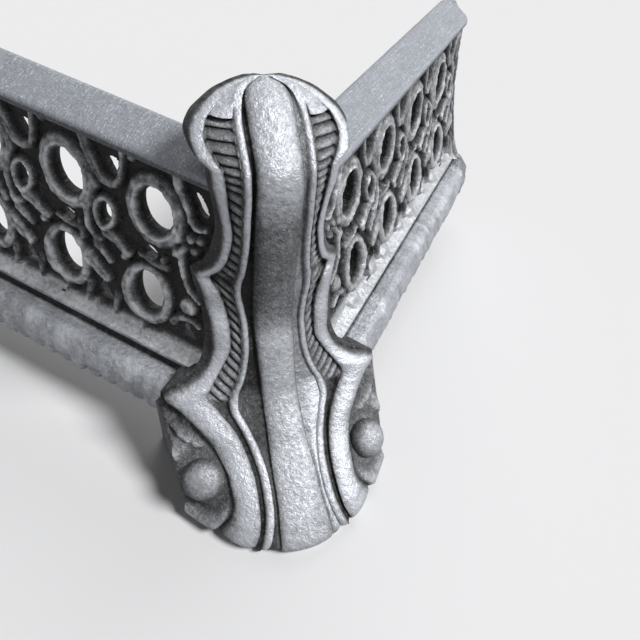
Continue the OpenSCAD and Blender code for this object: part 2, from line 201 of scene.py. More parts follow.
def from_polygon(x: Array, y: Array, corners: Points) -> Array:
    """Measures points against a convex polygon.

    Args:
        x: First coordinate of each point.
        y: Second coordinate of each point.
        corners: Its corners, anticlockwise.

    Returns:
        Distance outward from its edge, negative inside it.
    """
    out = np.full(x.shape, -1e9)
    for (ax, ay), (bx, by) in zip(corners, corners[1:] + corners[:1]):
        n = math.hypot(bx - ax, by - ay)
        out = np.maximum(out, ((x - ax) * (by - ay) - (y - ay) * (bx - ax)) / n)
    return out


def swept(section: Points, radius: float, stations: Array) -> tuple[Array, Array, Array]:
    """Rounds every corner of a closed section and repeats it along a run.

    Args:
        section: Corners of the section, each by its reach out and its height.
        radius: How far back along each edge a corner starts.
        stations: Places of the sections along the run.

    Returns:
        Place along, reach out and height, each by station and point.
    """
    ring = []
    for k, here in enumerate(section):
        p, q, r = np.array(section[k - 1]), np.array(here), np.array(section[(k + 1) % len(section)])
        a = q + (p - q) * min(0.45, radius / max(np.linalg.norm(p - q), 1e-6))
        b = q + (r - q) * min(0.45, radius / max(np.linalg.norm(r - q), 1e-6))
        ring += [(1 - t) ** 2 * a + 2 * t * (1 - t) * q + t * t * b for t in np.linspace(0, 1, ROUND_STEPS)]
    out, up = (np.tile(column, (len(stations), 1)) for column in np.array(ring).T)
    return np.tile(stations[:, None], (1, len(ring))), out, up


def on_wing(wing: Wing, along: Array, out: Array, up: Array) -> Array:
    """Places wing measures in the fender.

    Args:
        wing: The wall they belong to.
        along: X on the front, or distance behind the corner on a side.
        out: Reach outward from the ledge line.
        up: Height above the floor.

    Returns:
        Points in millimetres.
    """
    if wing is Wing.FRONT:
        return np.stack([along, CORNER_Y - out, up], axis=-1)
    side = 1.0 if wing is Wing.RIGHT else -1.0
    return np.stack([side * (HALF_FRONT + out), CORNER_Y + along, up], axis=-1)


# ---- The bench: everything that handles meshes ----


class Bench:
    """Operator work that every piece goes through."""

    @staticmethod
    def clear() -> None:
        """Leaves nothing selected and no object in edit mode."""
        if bpy.context.mode != "OBJECT":
            bpy.ops.object.mode_set(mode="OBJECT")
        bpy.ops.object.select_all(action="DESELECT")

    @staticmethod
    def take(obj: Piece) -> None:
        """Selects one object and makes it active."""
        Bench.clear()
        obj.select_set(True)
        bpy.context.view_layer.objects.active = obj

    @staticmethod
    @contextmanager
    def editing(obj: Piece, pick: str = "VERT", every: bool = True) -> Iterator[None]:
        """Opens a piece in edit mode for the lines that follow.

        Args:
            obj: The piece.
            pick: What is picked, points or faces.
            every: Picks everything, where its own selection isn't kept.
        """
        Bench.take(obj)
        bpy.ops.object.mode_set(mode="EDIT")
        bpy.ops.mesh.select_mode(type=pick)
        if every:
            bpy.ops.mesh.select_all(action="SELECT")
        yield
        bpy.ops.object.mode_set(mode="OBJECT")

    @staticmethod
    def named(name: str) -> Piece:
        """Names the object just added, and its mesh."""
        obj = bpy.context.object
        obj.name = obj.data.name = name
        return obj

    @staticmethod
    def sheet(name: str, columns: int, rows: int) -> tuple[Piece, Array, Array]:
        """Adds a flat sheet of quads to be raised into a surface.

        Args:
            name: Name of the piece.
            columns: Points across.
            rows: Points up.

        Returns:
            The object, and the column and row of each of its points.
        """
        Bench.clear()
        bpy.ops.mesh.primitive_grid_add(x_subdivisions=columns - 1, y_subdivisions=rows - 1, size=1)
        obj = Bench.named(name)
        co = Bench.points(obj)
        i = np.rint((co[:, 0] + 0.5) * (columns - 1)).astype(int)
        j = np.rint((co[:, 1] + 0.5) * (rows - 1)).astype(int)
        return obj, i, j

    @staticmethod
    def points(obj: Piece) -> Array:
        """Every point of a mesh."""
        co = np.zeros(len(obj.data.vertices) * 3, np.float32)
        obj.data.vertices.foreach_get("co", co)
        return co.reshape(-1, 3).astype(float)

    @staticmethod
    def place(obj: Piece, points: Array) -> None:
        """Moves every point of a mesh to a place given in millimetres."""
        obj.data.vertices.foreach_set("co", (points * MM).astype(np.float32).ravel())
        obj.data.update()

    @staticmethod
    def shading_and_wear(obj: Piece, wear_and_shading: Array) -> None:
        """Writes how raised and rubbed each point is, from 0 in a hollow to 1 on a ridge, with painted shade
        and painted light mixed in.
        """
        layer = obj.data.attributes.get("wear_and_shading") or obj.data.attributes.new("wear_and_shading", "FLOAT", "POINT")
        layer.data.foreach_set("value", np.clip(wear_and_shading, 0, 1).astype(np.float32))

    @staticmethod
    def drop_faces(obj: Piece, unwanted: Array) -> None:
        """Deletes the faces that a mask names."""
        for item in (obj.data.vertices, obj.data.edges):
            item.foreach_set("select", np.zeros(len(item), bool))
        obj.data.polygons.foreach_set("select", unwanted)
        with Bench.editing(obj, "FACE", every=False):
            bpy.ops.mesh.delete(type="FACE")

    @staticmethod
    def thicken(obj: Piece) -> Array:
        """Extrudes a whole open sheet on the spot, so that it has a back.

        Args:
            obj: The sheet.

        Returns:
            A mask of the points that make the back.
        """
        with Bench.editing(obj):
            bpy.ops.mesh.extrude_region_move(TRANSFORM_OT_translate={"value": (0, 0, 0)})
        back = np.zeros(len(obj.data.vertices), bool)
        obj.data.vertices.foreach_get("select", back)
        return back

    @staticmethod
    def close(obj: Piece, merge: bool = True) -> None:
        """Fills the open ends and turns every face outward, and joins the seam where there is one."""
        with Bench.editing(obj):
            if merge:
                bpy.ops.mesh.remove_doubles(threshold=1e-6)
            bpy.ops.mesh.select_all(action="SELECT")
            bpy.ops.mesh.fill_holes(sides=0)
            bpy.ops.mesh.select_all(action="SELECT")
            bpy.ops.mesh.normals_make_consistent(inside=False)

    @staticmethod
    def loft(name: str, rings: Array, wear_and_shading: Array) -> Piece:
        """Skins a row of closed sections and caps both ends.

        Args:
            name: Name of the piece.
            rings: Sections by points by XYZ, in millimetres.
            wear_and_shading: How rubbed each of those points is, with painted shade and light in it.

        Returns:
            The closed piece.
        """
        count, around = rings.shape[:2]
        obj, i, j = Bench.sheet(name, around + 1, count)
        Bench.place(obj, rings[j, i % around])
        Bench.shading_and_wear(obj, wear_and_shading[j, i % around])
        Bench.close(obj)
        return obj

    @staticmethod
    def block(name: str, ends: list[Array], wear_and_shading: float) -> Piece:
        """Adds a bevelled cast block.

        Args:
            name: Name of the block.
            ends: Two opposite corners, in millimetres.
            wear_and_shading: How rubbed it is.

        Returns:
            The block.
        """
        Bench.clear()
        bpy.ops.mesh.primitive_cube_add(size=1)
        obj = Bench.named(name)
        a, b = ends
        Bench.place(obj, np.minimum(a, b) + (Bench.points(obj) + 0.5) * np.abs(b - a))
        with Bench.editing(obj):
            bpy.ops.mesh.bevel(offset=BEVEL * MM, segments=2)
        Bench.shading_and_wear(obj, np.full(len(obj.data.vertices), wear_and_shading))
        return obj

    @staticmethod
    def join(obj: Piece, extras: list[Piece]) -> None:
        """Joins further solids into a piece."""
        Bench.take(obj)
        for extra in extras:
            extra.select_set(True)
        bpy.ops.object.join()

    @staticmethod
    def smooth(obj: Piece, angle: float) -> None:
        """Shades a piece smooth wherever faces meet at less than an angle in degrees."""
        Bench.take(obj)
        bpy.ops.object.shade_smooth_by_angle(angle=math.radians(angle))


# ---- Finishes ----


class Tree:
    """Adds and links nodes of one material, group or world."""

    def __init__(self, nodes: bpy.types.NodeTree) -> None:
        """Keeps the node tree."""
        self.tree = nodes

    @classmethod
    def of(cls, owner: bpy.types.ID) -> "Tree":
        """Gives a material or world an empty node tree."""
        owner.use_nodes = True
        owner.node_tree.nodes.clear()
        return cls(owner.node_tree)

    def add(self, kind: str, values: dict | None = None, **options: object) -> bpy.types.Node:
        """Adds a node.

        Args:
            kind: Blender's own name of the node.
            values: Numbers, colours or sockets for its inputs.
            **options: Settings of the node.

        Returns:
            The node.
        """
        node = self.tree.nodes.new(kind)
        for key, value in options.items():
            setattr(node, key, value)
        for key, value in (values or {}).items():
            if isinstance(value, Socket):
                self.tree.links.new(value, node.inputs[key])
            else:
                node.inputs[key].default_value = value
        return node

    def mix(self, factor: object, a: object, b: object) -> Socket:
        """Mixes two colours and returns the result's socket."""
        return self.add("ShaderNodeMix", {0: factor, 6: a, 7: b}, data_type="RGBA").outputs[2]

    def maths(self, operation: str, a: object, b: object) -> Socket:
        """Adds one sum and returns its socket."""
        return self.add("ShaderNodeMath", {0: a, 1: b}, operation=operation).outputs[0]

    def ramp(self, factor: Socket, low: float, high: float) -> Socket:
        """Stretches the range low to high over 0 to 1."""
        return self.add("ShaderNodeMapRange", {"Value": factor, "From Min": low, "From Max": high},
                        clamp=True).outputs[0]

    def spread(self, factor: Socket, low: float, high: float) -> Socket:
        """Stretches 0 to 1 over the range low to high."""
        return self.add("ShaderNodeMapRange", {"Value": factor, "To Min": low, "To Max": high}).outputs[0]

    def noise(self, place: Socket, scale: object, detail: float, rough: float = 0.5) -> Socket:
        """Adds a noise and returns its value's socket."""
        return self.add("ShaderNodeTexNoise", {"Vector": place, "Scale": scale, "Detail": detail,
                                               "Roughness": rough}).outputs["Fac"]

    def seen(self) -> Socket:
        """A switch that is 1 for what the camera sees, straight or as a gloss."""
        path = self.add("ShaderNodeLightPath").outputs
        return self.maths("MAXIMUM", path["Is Camera Ray"], path["Is Glossy Ray"])


@dataclass(frozen=True)
class Effect:
    """A node group that every finish uses."""

    name: str
    takes: Sockets
    gives: Sockets

    def group(self) -> bpy.types.NodeTree:
        """Builds the group once and returns it."""
        made = bpy.data.node_groups.get(self.name)
        if made is None:
            made = bpy.data.node_groups.new(self.name, "ShaderNodeTree")
            for way, sockets in (("INPUT", self.takes), ("OUTPUT", self.gives)):
                for label, kind in sockets:
                    made.interface.new_socket(label, in_out=way, socket_type=kind)
            t = Tree(made)
            t.add("NodeGroupOutput", self.wire(t, t.add("NodeGroupInput").outputs))
        return made

    def wire(self, t: Tree, given: bpy.types.NodeOutputs) -> dict[str, Socket]:
        """Adds the nodes between what the group takes and what it gives."""
        raise NotImplementedError


VALUE, TINT = "NodeSocketFloat", "NodeSocketColor"


@dataclass(frozen=True)
class CastSkin(Effect):
    """Grain of sand-cast iron: a fine and a coarse relief, and a mask for painted glints."""

    name: str = "cast_skin"
    takes: Sockets = (("Fine", VALUE), ("Coarse", VALUE), ("Streak", VALUE))
    gives: Sockets = (("Height", VALUE), ("Glints", VALUE), ("Cloud", VALUE))
    cloud_scale: float = 34.0
    brush_turn: float = 62.0
    brush_scale: tuple[float, float, float] = (1500.0, 70.0, 600.0)

    def wire(self, t: Tree, given: bpy.types.NodeOutputs) -> dict[str, Socket]:
        """Adds the grain, pits, clouds and brush strokes.

        Args:
            t: The group's tree.
            given: The group's inputs.

        Returns:
            A socket for each output.
        """
        place = t.add("ShaderNodeTexCoord").outputs["Object"]
        fine = t.noise(place, given["Fine"], 3.0, 0.6)
        coarse = t.noise(place, given["Coarse"], 4.0, 0.55)
        pits = t.add("ShaderNodeTexVoronoi", {"Vector": place, "Scale": given["Coarse"]},
                     feature="SMOOTH_F1").outputs["Distance"]
        cloud = t.noise(place, self.cloud_scale, 3.0)
        angles = (0.0, 0.0, math.radians(self.brush_turn))
        turned = t.add("ShaderNodeMapping", {"Vector": place, "Rotation": angles,
                                             "Scale": self.brush_scale}).outputs[0]
        brush = t.noise(turned, 1.0, 2.0)
        grain = t.maths("ADD", t.maths("MULTIPLY", fine, 0.45), t.maths("MULTIPLY", coarse, 0.8))
        grain = t.maths("SUBTRACT", grain, t.maths("MULTIPLY", pits, 0.25))
        grain = t.maths("ADD", grain, t.maths("MULTIPLY", brush, given["Streak"]))
        strokes = t.maths("MULTIPLY", t.maths("SUBTRACT", brush, 0.5), given["Streak"])
        mottle = t.maths("ADD", t.maths("MULTIPLY", cloud, 0.4), t.maths("MULTIPLY", coarse, 0.6))
        return {"Height": grain, "Glints": t.ramp(t.maths("ADD", fine, strokes), 0.55, 0.75), "Cloud": mottle}


@dataclass(frozen=True)
class RubbedHighsPaintedShade(Effect):
    """Colour of blacked iron whose ridges are rubbed bright and whose hollows are painted dark as shade."""

    name: str = "rubbed_highs_painted_shade"
    takes: Sockets = (("Hollow", TINT), ("Face", TINT), ("Ridge", TINT),
                      ("WearShading", VALUE), ("Glints", VALUE), ("Cloud", VALUE))
    gives: Sockets = (("Colour", TINT), ("Bright", VALUE))
    glint: Colour = (0.8, 0.82, 0.86, 1.0)

    def wire(self, t: Tree, given: bpy.types.NodeOutputs) -> dict[str, Socket]:
        """Adds the change from hollow to face to ridge, with painted shade in the hollows, and the painted
        glints on it.

        Args:
            t: The group's tree.
            given: The group's inputs.

        Returns:
            A socket for each output.
        """
        cloud = t.maths("MULTIPLY", t.maths("SUBTRACT", given["Cloud"], 0.5), 0.9)
        patchy = t.maths("ADD", given["WearShading"], cloud)
        # Painted shade: low values of the mask give near-black hollows, high values the pale ridge colour.
        low = t.mix(t.ramp(patchy, 0.02, 0.42), given["Hollow"], given["Face"])
        high = t.mix(t.ramp(patchy, 0.45, 0.95), low, given["Ridge"])
        # Painted glints: pale specks of the glint colour stand in for sparkles of light off the grain.
        lit = t.maths("MULTIPLY", given["Glints"], t.ramp(patchy, -0.05, 0.6))
        return {"Colour": t.mix(t.maths("MULTIPLY", lit, 0.6), high, self.glint),
                "Bright": t.ramp(patchy, 0.2, 0.9)}


@dataclass(frozen=True)
class IronFinish:
    """One finish of the iron, from its hollows, painted dark as shade, to its rubbed ridges."""

    name: str
    hollow: Colour
    face: Colour
    ridge: Colour
    fine: float = 950.0
    coarse: float = 360.0
    streak: float = 0.0
    bump: float = 0.45
    relief: float = 0.0011
    roughness: tuple[float, float] = (0.62, 0.40)
    metallic: float = 0.5
    wear_and_shading: float | None = None

    def material(self) -> bpy.types.Material:
        """Builds the material once and returns it.

        Returns:
            The material of this finish.
        """
        made = bpy.data.materials.get(self.name)
        if made:
            return made
        made = bpy.data.materials.new(self.name)
        t = Tree.of(made)
        skin = t.add("ShaderNodeGroup", {"Fine": self.fine, "Coarse": self.coarse, "Streak": self.streak},
                     node_tree=CastSkin().group()).outputs
        wear_and_shading = self.wear_and_shading
        if wear_and_shading is None:
            wear_and_shading = t.add("ShaderNodeAttribute", attribute_name="wear_and_shading").outputs["Fac"]
        rubbed = t.add("ShaderNodeGroup", {"Hollow": self.hollow, "Face": self.face, "Ridge": self.ridge,
                                           "WearShading": wear_and_shading, "Glints": skin["Glints"], "Cloud": skin["Cloud"]},
                       node_tree=RubbedHighsPaintedShade().group()).outputs
        bump = t.add("ShaderNodeBump", {"Height": skin["Height"], "Distance": self.relief,
                                        "Strength": self.bump}).outputs[0]
        shader = t.add("ShaderNodeBsdfPrincipled", {
            "Base Color": rubbed["Colour"], "Roughness": t.spread(rubbed["Bright"], *self.roughness),
            "Metallic": t.maths("MULTIPLY", rubbed["Bright"], self.metallic),
            "Normal": bump, "Specular IOR Level": 0.25})
        t.add("ShaderNodeOutputMaterial", {"Surface": shader.outputs[0]})
        return made

    def dress(self, obj: Piece) -> None:
        """Puts this finish alone on a piece."""
        obj.data.materials.clear()
        obj.data.materials.append(self.material())


# The near-black hollow colours carry painted shade in the recesses.
GALLERY_IRON = IronFinish("rubbed_painted_shade_gallery_iron", (0.009, 0.009, 0.009, 1), (0.12, 0.122, 0.126, 1),
                          (0.56, 0.575, 0.60, 1), bump=0.9)
RAIL_IRON = IronFinish("brushed_rail_iron", (0.08, 0.083, 0.09, 1), (0.22, 0.232, 0.255, 1),
                       (0.36, 0.38, 0.42, 1), streak=0.6, bump=0.6, roughness=(0.8, 0.7), metallic=0.3)
SKIRT_IRON = IronFinish("rubbed_painted_shade_skirt_iron", (0.02, 0.02, 0.022, 1), (0.22, 0.23, 0.25, 1),
                        (0.50, 0.52, 0.56, 1), bump=0.9)
POST_IRON = IronFinish("rubbed_painted_shade_post_iron", (0.006, 0.006, 0.006, 1), (0.15, 0.152, 0.158, 1),
                       (0.52, 0.54, 0.58, 1), bump=0.9)
FOOT_IRON = IronFinish("turned_foot_iron", (0.03, 0.03, 0.033, 1), (0.22, 0.23, 0.245, 1),
                       (0.5, 0.52, 0.56, 1), wear_and_shading=0.5)
FIXING_IRON = IronFinish("blued_fixing_iron", (0.02, 0.02, 0.021, 1), (0.11, 0.11, 0.115, 1),
                         (0.3, 0.3, 0.31, 1), wear_and_shading=0.4, metallic=0.6)


# ---- Galleries ----


@dataclass(frozen=True)
class Oval:
    """A tilted oval, measured from its loop and away from the corner."""

    x: float
    z: float
    across: float
    up: float
    tilt: float

    def out(self, x: Array, z: Array) -> Array:
        """Measures points against the oval, which a positive tilt leans away from the corner.

        Args:
            x: Distance from the loop of each point.
            z: Height of each point.

        Returns:
            Distance outward from its edge, negative inside it.
        """
        c, s = math.cos(math.radians(-self.tilt)), math.sin(math.radians(-self.tilt))
        u, v = x - self.x, z - self.z
        u, v = u * c + v * s, -u * s + v * c
        far = np.hypot(u, v) + 1e-6
        reach = np.hypot(u / self.across, v / self.up) + 1e-6
        return far * (1 - 1 / reach)


class Band(Enum):
    """Sections of the raised rims, from the opening (0) to the outer edge (1)."""

    DOUBLE = ((0, 0.4), (0.06, 1.6), (0.18, 3.6), (0.28, 4.7), (0.34, 4.9), (0.40, 4.5), (0.47, 3.5),
              (0.56, 3.9), (0.68, 3.8), (0.84, 2.8), (0.95, 1.3), (1, 0.1))
    ROUND = ((0, 0.4), (0.12, 2.4), (0.3, 4.1), (0.45, 4.8), (0.56, 4.5), (0.64, 3.9), (0.78, 3.9),
             (0.90, 2.9), (0.97, 1.3), (1, 0.1))
    SMALL = ((0, 0.6), (0.2, 3.2), (0.45, 4.5), (0.7, 4.1), (0.9, 2.2), (1, 0.1))

    def height(self, opening: Oval, rim: Oval, x: Array, z: Array) -> Array:
        """Height of the rim between an opening and its outer edge.

        Args:
            opening: The pierced oval.
            rim: The outer edge of its rim.
            x: Distance from the loop of each point.
            z: Height of each point.

        Returns:
            Height over the plain plate, nought outside the rim.
        """
        inner, outer = np.maximum(opening.out(x, z), 0), -rim.out(x, z)
        share = np.clip(inner / np.maximum(inner + outer, 1e-3), 0, 1)
        knots = np.array(self.value, float)
        return np.where(outer > 0, np.interp(share, knots[:, 0], knots[:, 1]), 0.0)


@dataclass(frozen=True)
class Strap:
    """A scroll or leaf of the pattern, broad where its line starts and creased along the middle."""

    line: Points
    half: float
    top: float

    def height(self, x: Array, z: Array) -> Array:
        """Height of the leaf.

        Args:
            x: Distance from the loop of each point.
            z: Height of each point.

        Returns:
            Height over the plain plate.
        """
        far, share = to_line(x, z, self.line)
        half = self.half * lerp(1.9, 0.85, share)
        crease = 1.1 * np.exp(-((far / 0.9) ** 2)) * ease(2.4, 3.4, half)
        return np.maximum(self.top * round_bar(far / half) ** 0.8 - crease, 0)


@dataclass(frozen=True)
class Knob:
    """A rounded boss of the pattern."""

    x: float
    z: float
    across: float
    up: float
    top: float

    def height(self, x: Array, z: Array) -> Array:
        """Height of the boss over the plain plate."""
        return self.top * round_bar(np.hypot((x - self.x) / self.across, (z - self.z) / self.up)) ** 0.8


@dataclass(frozen=True)
class Pattern:
    """The scrolled pattern of one loop, measured from the loop and away from the corner."""

    big: Oval = Oval(0, 137, 9.5, 11.5, 13)
    big_rim: Oval = Oval(0.3, 136.8, 19.2, 20.6, 8)
    loop: Oval = Oval(0, 90, 8.3, 12, 9)
    loop_rim: Oval = Oval(1.6, 87.2, 17.8, 18.6, 5)
    small: Oval = Oval(31, 123.5, 3.4, 6.6, -13)
    small_rim: Oval = Oval(31.4, 123.5, 8.8, 10.3, -8)
    middle: Oval = Oval(3, 112, 4.8, 2.4, -20)
    slit: Oval = Oval(-24.2, 149, 2.6, 6.6, 34)
    diamond: Points = ((21.5, 150), (27.5, 144), (33.5, 153), (26.5, 154.5))
    triangle: Points = ((24.1, 70), (38.6, 68), (32.1, 82))
    post_triangle: Points = ((-32, 70), (-21, 70), (-24, 81))
    own: tuple[Strap | Knob, ...] = (
        Knob(-2.5, 62.0, 7.5, 4.6, 4.6), Knob(-6.5, 111.5, 2.6, 2.2, 3.4),
        Strap(((-9, 107.5), (-3, 107.5), (3, 108.5), (9, 110)), 1.3, 3.6),
        Strap(((-7, 163), (-11, 159), (-14, 154)), 1.5, 3.0))
    link: tuple[Strap | Knob, ...] = (
        Strap(((43.5, 163), (42, 156), (38.8, 150.5), (36, 145), (33, 142), (28, 141), (24, 142),
               (21.5, 146.5), (20, 154), (19, 163)), 2.1, 4.2),
        Strap(((38, 137), (41.5, 130), (43, 121), (42, 113), (38.5, 107), (33, 107.5)), 1.9, 4.0),
        Strap(((30, 113), (24, 111), (19, 108), (14, 106.5)), 2.3, 4.4),
        Strap(((36.5, 103.8), (31, 100.5), (26, 97)), 1.8, 4.0),
        Strap(((41, 94), (34, 90), (27.5, 86)), 3.2, 4.6),
        Strap(((20.5, 78), (22, 71), (22.5, 64)), 1.7, 3.4),
        Strap(((40, 77), (41.5, 70), (42, 64)), 1.7, 3.4),
        Knob(17.5, 103.5, 3.4, 2.8, 4.2), Knob(46.0, 104.5, 3.6, 3.0, 3.8),
        Knob(31.5, 62.5, 6.0, 3.4, 3.0), Knob(14.0, 160.0, 3.2, 3.0, 3.0))
    beside_post: tuple[Strap | Knob, ...] = (
        Strap(((-12.5, 161), (-13.5, 154.5), (-16.6, 150.3), (-19.6, 146), (-20.9, 141), (-24.5, 138),
               (-30, 139)), 1.7, 4.4),
        Strap(((-16.6, 121.2), (-18.1, 114.5), (-21.5, 105.6), (-25, 101.5), (-32, 98)), 1.5, 4.4),
        Strap(((-17, 79), (-20, 83.5), (-26, 85), (-34, 83)), 1.6, 3.6),
        Knob(-15.5, 128.4, 3.0, 2.8, 4.0), Knob(-21, 130.5, 3.4, 2.8, 3.8), Knob(-27, 131.5, 3.2, 2.8, 3.6),
        Knob(-13.4, 119.5, 3.0, 3.0, 4.0), Knob(-18, 124, 3.0, 2.8, 3.6), Knob(-24, 124.5, 3.4, 3.0, 3.4),
        Knob(-27, 115, 4.2, 4.6, 3.2), Knob(-25.5, 92.5, 6.4, 5.4, 4.8))

    def openings(self, x: Array, z: Array, linked: bool, by_post: bool) -> Array:
        """Measures points against the openings of one loop.

        Args:
            x: Distance from the loop of each point.
            z: Height of each point.
            linked: Adds the openings that lead on to the next loop.
            by_post: Adds those that fill the space beside a post.

        Returns:
            Distance out from the nearest opening, negative in it.
        """
        gaps = [oval.out(x, z) for oval in (self.big, self.loop, self.middle)]
        if linked:
            gaps += [self.small.out(x, z), from_polygon(x, z, self.diamond),
                     from_polygon(x, z, self.triangle)]
        if by_post:
            gaps += [self.slit.out(x, z), from_polygon(x, z, self.post_triangle)]
        return np.minimum.reduce(gaps)

    def relief(self, x: Array, z: Array, linked: bool, by_post: bool) -> Array:
        """Height of one loop's relief.

        Args:
            x: Distance from the loop of each point.
            z: Height of each point.
            linked: Adds what leads on to the next loop.
            by_post: Adds what fills the space beside a post.

        Returns:
            Height over the plain plate.
        """
        heights = [Band.DOUBLE.height(self.big, self.big_rim, x, z),
                   Band.ROUND.height(self.loop, self.loop_rim, x, z)]
        if linked:
            heights.append(Band.SMALL.height(self.small, self.small_rim, x, z))
        parts = self.own + self.link * linked + self.beside_post * by_post
        return blend(heights + [part.height(x, z) for part in parts])


@dataclass
class Gallery:
    """A run of the pierced gallery plate, with its lugs and tabs."""

    name: str
    wing: Wing
    start: float
    stop: float
    pattern: Pattern = Pattern()
    grain: float = 1.0
    draft: float = 1.8
    loop_reach: float = 60.0
    far: float = 50.0
    back_wear: float = 0.3
    profile: Points = (
        (58, -1.0), (59.2, -4.2), (62, -6.8), (66, -8.4), (76, -10.2), (86, -12.9), (96, -16.2), (106, -19.5),
        (120, -23.4), (137, -27.3), (150, -29.9), (164, -32.0))

    def loops(self) -> list[tuple[float, float, bool, bool]]:
        """Finds every loop near the run.

        Returns:
            The place of each, the way to the middle, and whether it links on or stands by a post.
        """
        if self.wing is Wing.FRONT:
            last = (FRONT_LOOPS - 1) // 2
            every = [(k * PITCH, float(-np.sign(k)), k != 0, abs(k) == last) for k in range(-last, last + 1)]
        else:
            every = [(FIRST_LOOP + k * PITCH, 1.0, True, k == 0) for k in range(SIDE_LOOPS)]
        first, last = self.start - self.loop_reach, self.stop + self.loop_reach
        return [loop for loop in every if first < loop[0] < last]

    def face(self, z: Array) -> Array:
        """Finds the plain face, a hollow sweep from ledge to rail.

        Args:
            z: Heights.

        Returns:
            Reach of the face at each height.
        """
        knots = np.array(self.profile, float)
        return fair(knots[:, 0], knots[:, 1:], np.atleast_1d(z).ravel())[:, 0].reshape(np.shape(z))

    def shape(self, x: Array, z: Array) -> tuple[Array, Array]:
        """Works the whole pattern of the run out, with its end beads and flare.

        Args:
            x: Place of each point along the wing.
            z: Height of each point.

        Returns:
            Relief height, and distance out from the openings.
        """
        high = np.zeros(x.shape)
        gap = np.full(x.shape, self.far)
        for centre, side, linked, by_post in self.loops():
            near = np.abs(x - centre) < self.loop_reach
            u, v = (x[near] - centre) * (side or 1.0), z[near]
            high[near] = np.maximum(high[near], self.pattern.relief(u, v, linked, by_post))
            gap[near] = np.minimum(gap[near], self.pattern.openings(u, v, linked, by_post))
        if self.wing is not Wing.FRONT:
            for off in (3.0, 9.0):
                high = np.maximum(high, 3.4 * round_bar((self.stop - off - x) / 2.4))
            high = high + 6 * ease(92, LEDGE_Z, z) ** 2 * ease(self.stop - 14, self.stop - 3, x)
        edge = np.maximum(3.0 * round_bar((z - RAIL_Z + 1.0) / 3.0), 2.2 * round_bar((z - LEDGE_Z) / 3.2))
        return np.maximum(high, edge), gap

    def slope(self, x: Array, z: Array) -> tuple[Array, Array, Array]:
        """Finds the way out of the openings.

        Args:
            x: Place of each point along the wing.
            z: Height of each point.

        Returns:
            Distance out from the openings, and how it grows along the run and up.
        """
        e = 0.2
        gx = (self.shape(x + e, z)[1] - self.shape(x - e, z)[1]) / (2 * e)
        gz = (self.shape(x, z + e)[1] - self.shape(x, z - e)[1]) / (2 * e)
        return self.shape(x, z)[1], gx, gz

    def shading_and_wear(self, x: Array, z: Array, high: Array) -> Array:
        """Rubs the ridges bright, paints a highlight on the foot of the plate where it turns up to the light,
        and paints the flared foot of a free end darker.

        Args:
            x: Place of each point along the wing.
            z: Height of each point.
            high: Its relief, with the roughness added.

        Returns:
            How rubbed each point is, with the painted highlight.
        """
        # Painted highlight: the foot of the plate, which turns up to the light, is painted bright.
        base = ease(69, 62, z) if self.wing is Wing.FRONT else ease(76, 64, z)
        wear_and_shading = np.maximum(np.clip((high - 0.5) / 4.6, 0, 1) ** 1.1, 0.85 * base)
        if self.wing is Wing.FRONT:
            return wear_and_shading
        # The flared foot of a free end is painted darker, to tone its painted highlight down.
        return wear_and_shading * (1 - 0.35 * ease(self.stop - 16, self.stop - 6, x) * ease(96, 70, z))

    def build(self) -> Piece:
        """Raises the run from a sheet, pierces it, gives it a back and dresses it.

        Returns:
            The finished run.
        """
        columns = int(round((self.stop - self.start) / self.grain)) + 1
        rows = int(round((RAIL_Z - LEDGE_Z) / self.grain)) + 1
        obj, i, j = Bench.sheet(self.name, columns, rows)
        x = self.start + (self.stop - self.start) * i / (columns - 1)
        z = LEDGE_Z + (RAIL_Z - LEDGE_Z) * j / (rows - 1)
        inside = self.shape(x, z)[1] < 0
        for _ in range(2):
            gap, gx, gz = self.slope(x, z)
            pull = np.where((gap < 0.42 * self.grain) & (gap > -1.6 * self.grain), gap, 0.0)
            x, z = x - pull * gx, z - pull * gz
        high = self.shape(x, z)[0]
        rough = (0.45 * lumps(x, z, 2.3, 3) + 0.55 * lumps(x, z, 5.0, 5)) * (0.15 + 0.85 * ease(60, 68, z))
        out = self.face(z) + high + rough * np.clip(high / 2 + 0.5, 0, 1) * ease(RAIL_Z, RAIL_Z - 3, z)
        Bench.place(obj, on_wing(self.wing, x, out, z))
        corners = np.zeros(len(obj.data.loops), np.int32)
        obj.data.loops.foreach_get("vertex_index", corners)
        Bench.shading_and_wear(obj, self.shading_and_wear(x, z, high + 1.2 * rough))
        Bench.drop_faces(obj, inside[corners.reshape(-1, 4)].sum(axis=1) >= 3)
        self.flatten(obj, Bench.thicken(obj))
        Bench.join(obj, self.fittings())
        Bench.close(obj, merge=False)
        Bench.smooth(obj, 50)
        GALLERY_IRON.dress(obj)
        return obj

    def flatten(self, obj: Piece, back: Array) -> None:
        """Draws the back of the sheet to one even surface and widens the openings toward it.

        Args:
            obj: The sheet.
            back: A mask of the points that make its back.
        """
        co = Bench.points(obj) / MM
        along = co[back, 0] if self.wing is Wing.FRONT else co[back, 1] - CORNER_Y
        up = co[back, 2]
        gap, gx, gz = self.slope(along, up)
        push = self.draft * np.clip(1 - gap / 3.2, 0, 1)
        along = np.clip(along + push * gx, self.start, self.stop)
        up = np.clip(up + push * gz, LEDGE_Z, RAIL_Z)
        co[back] = on_wing(self.wing, along, self.face(up) - PLATE_T, up)
        Bench.place(obj, co)
        wear_and_shading = np.zeros(len(co), np.float32)
        obj.data.attributes["wear_and_shading"].data.foreach_get("value", wear_and_shading)
        Bench.shading_and_wear(obj, np.where(back, self.back_wear, wear_and_shading))

    def cast(self, x: float, out: float, z: float, *offsets: tuple[float, float, float]) -> Piece:
        """Casts a block between two corners, each given by its offset from a place on this wing."""
        ends = [on_wing(self.wing, np.array(x + dx), np.array(out + da), np.array(z + dz))
                for dx, da, dz in offsets]
        return Bench.block(f"{self.name}_lug", ends, 0.35)

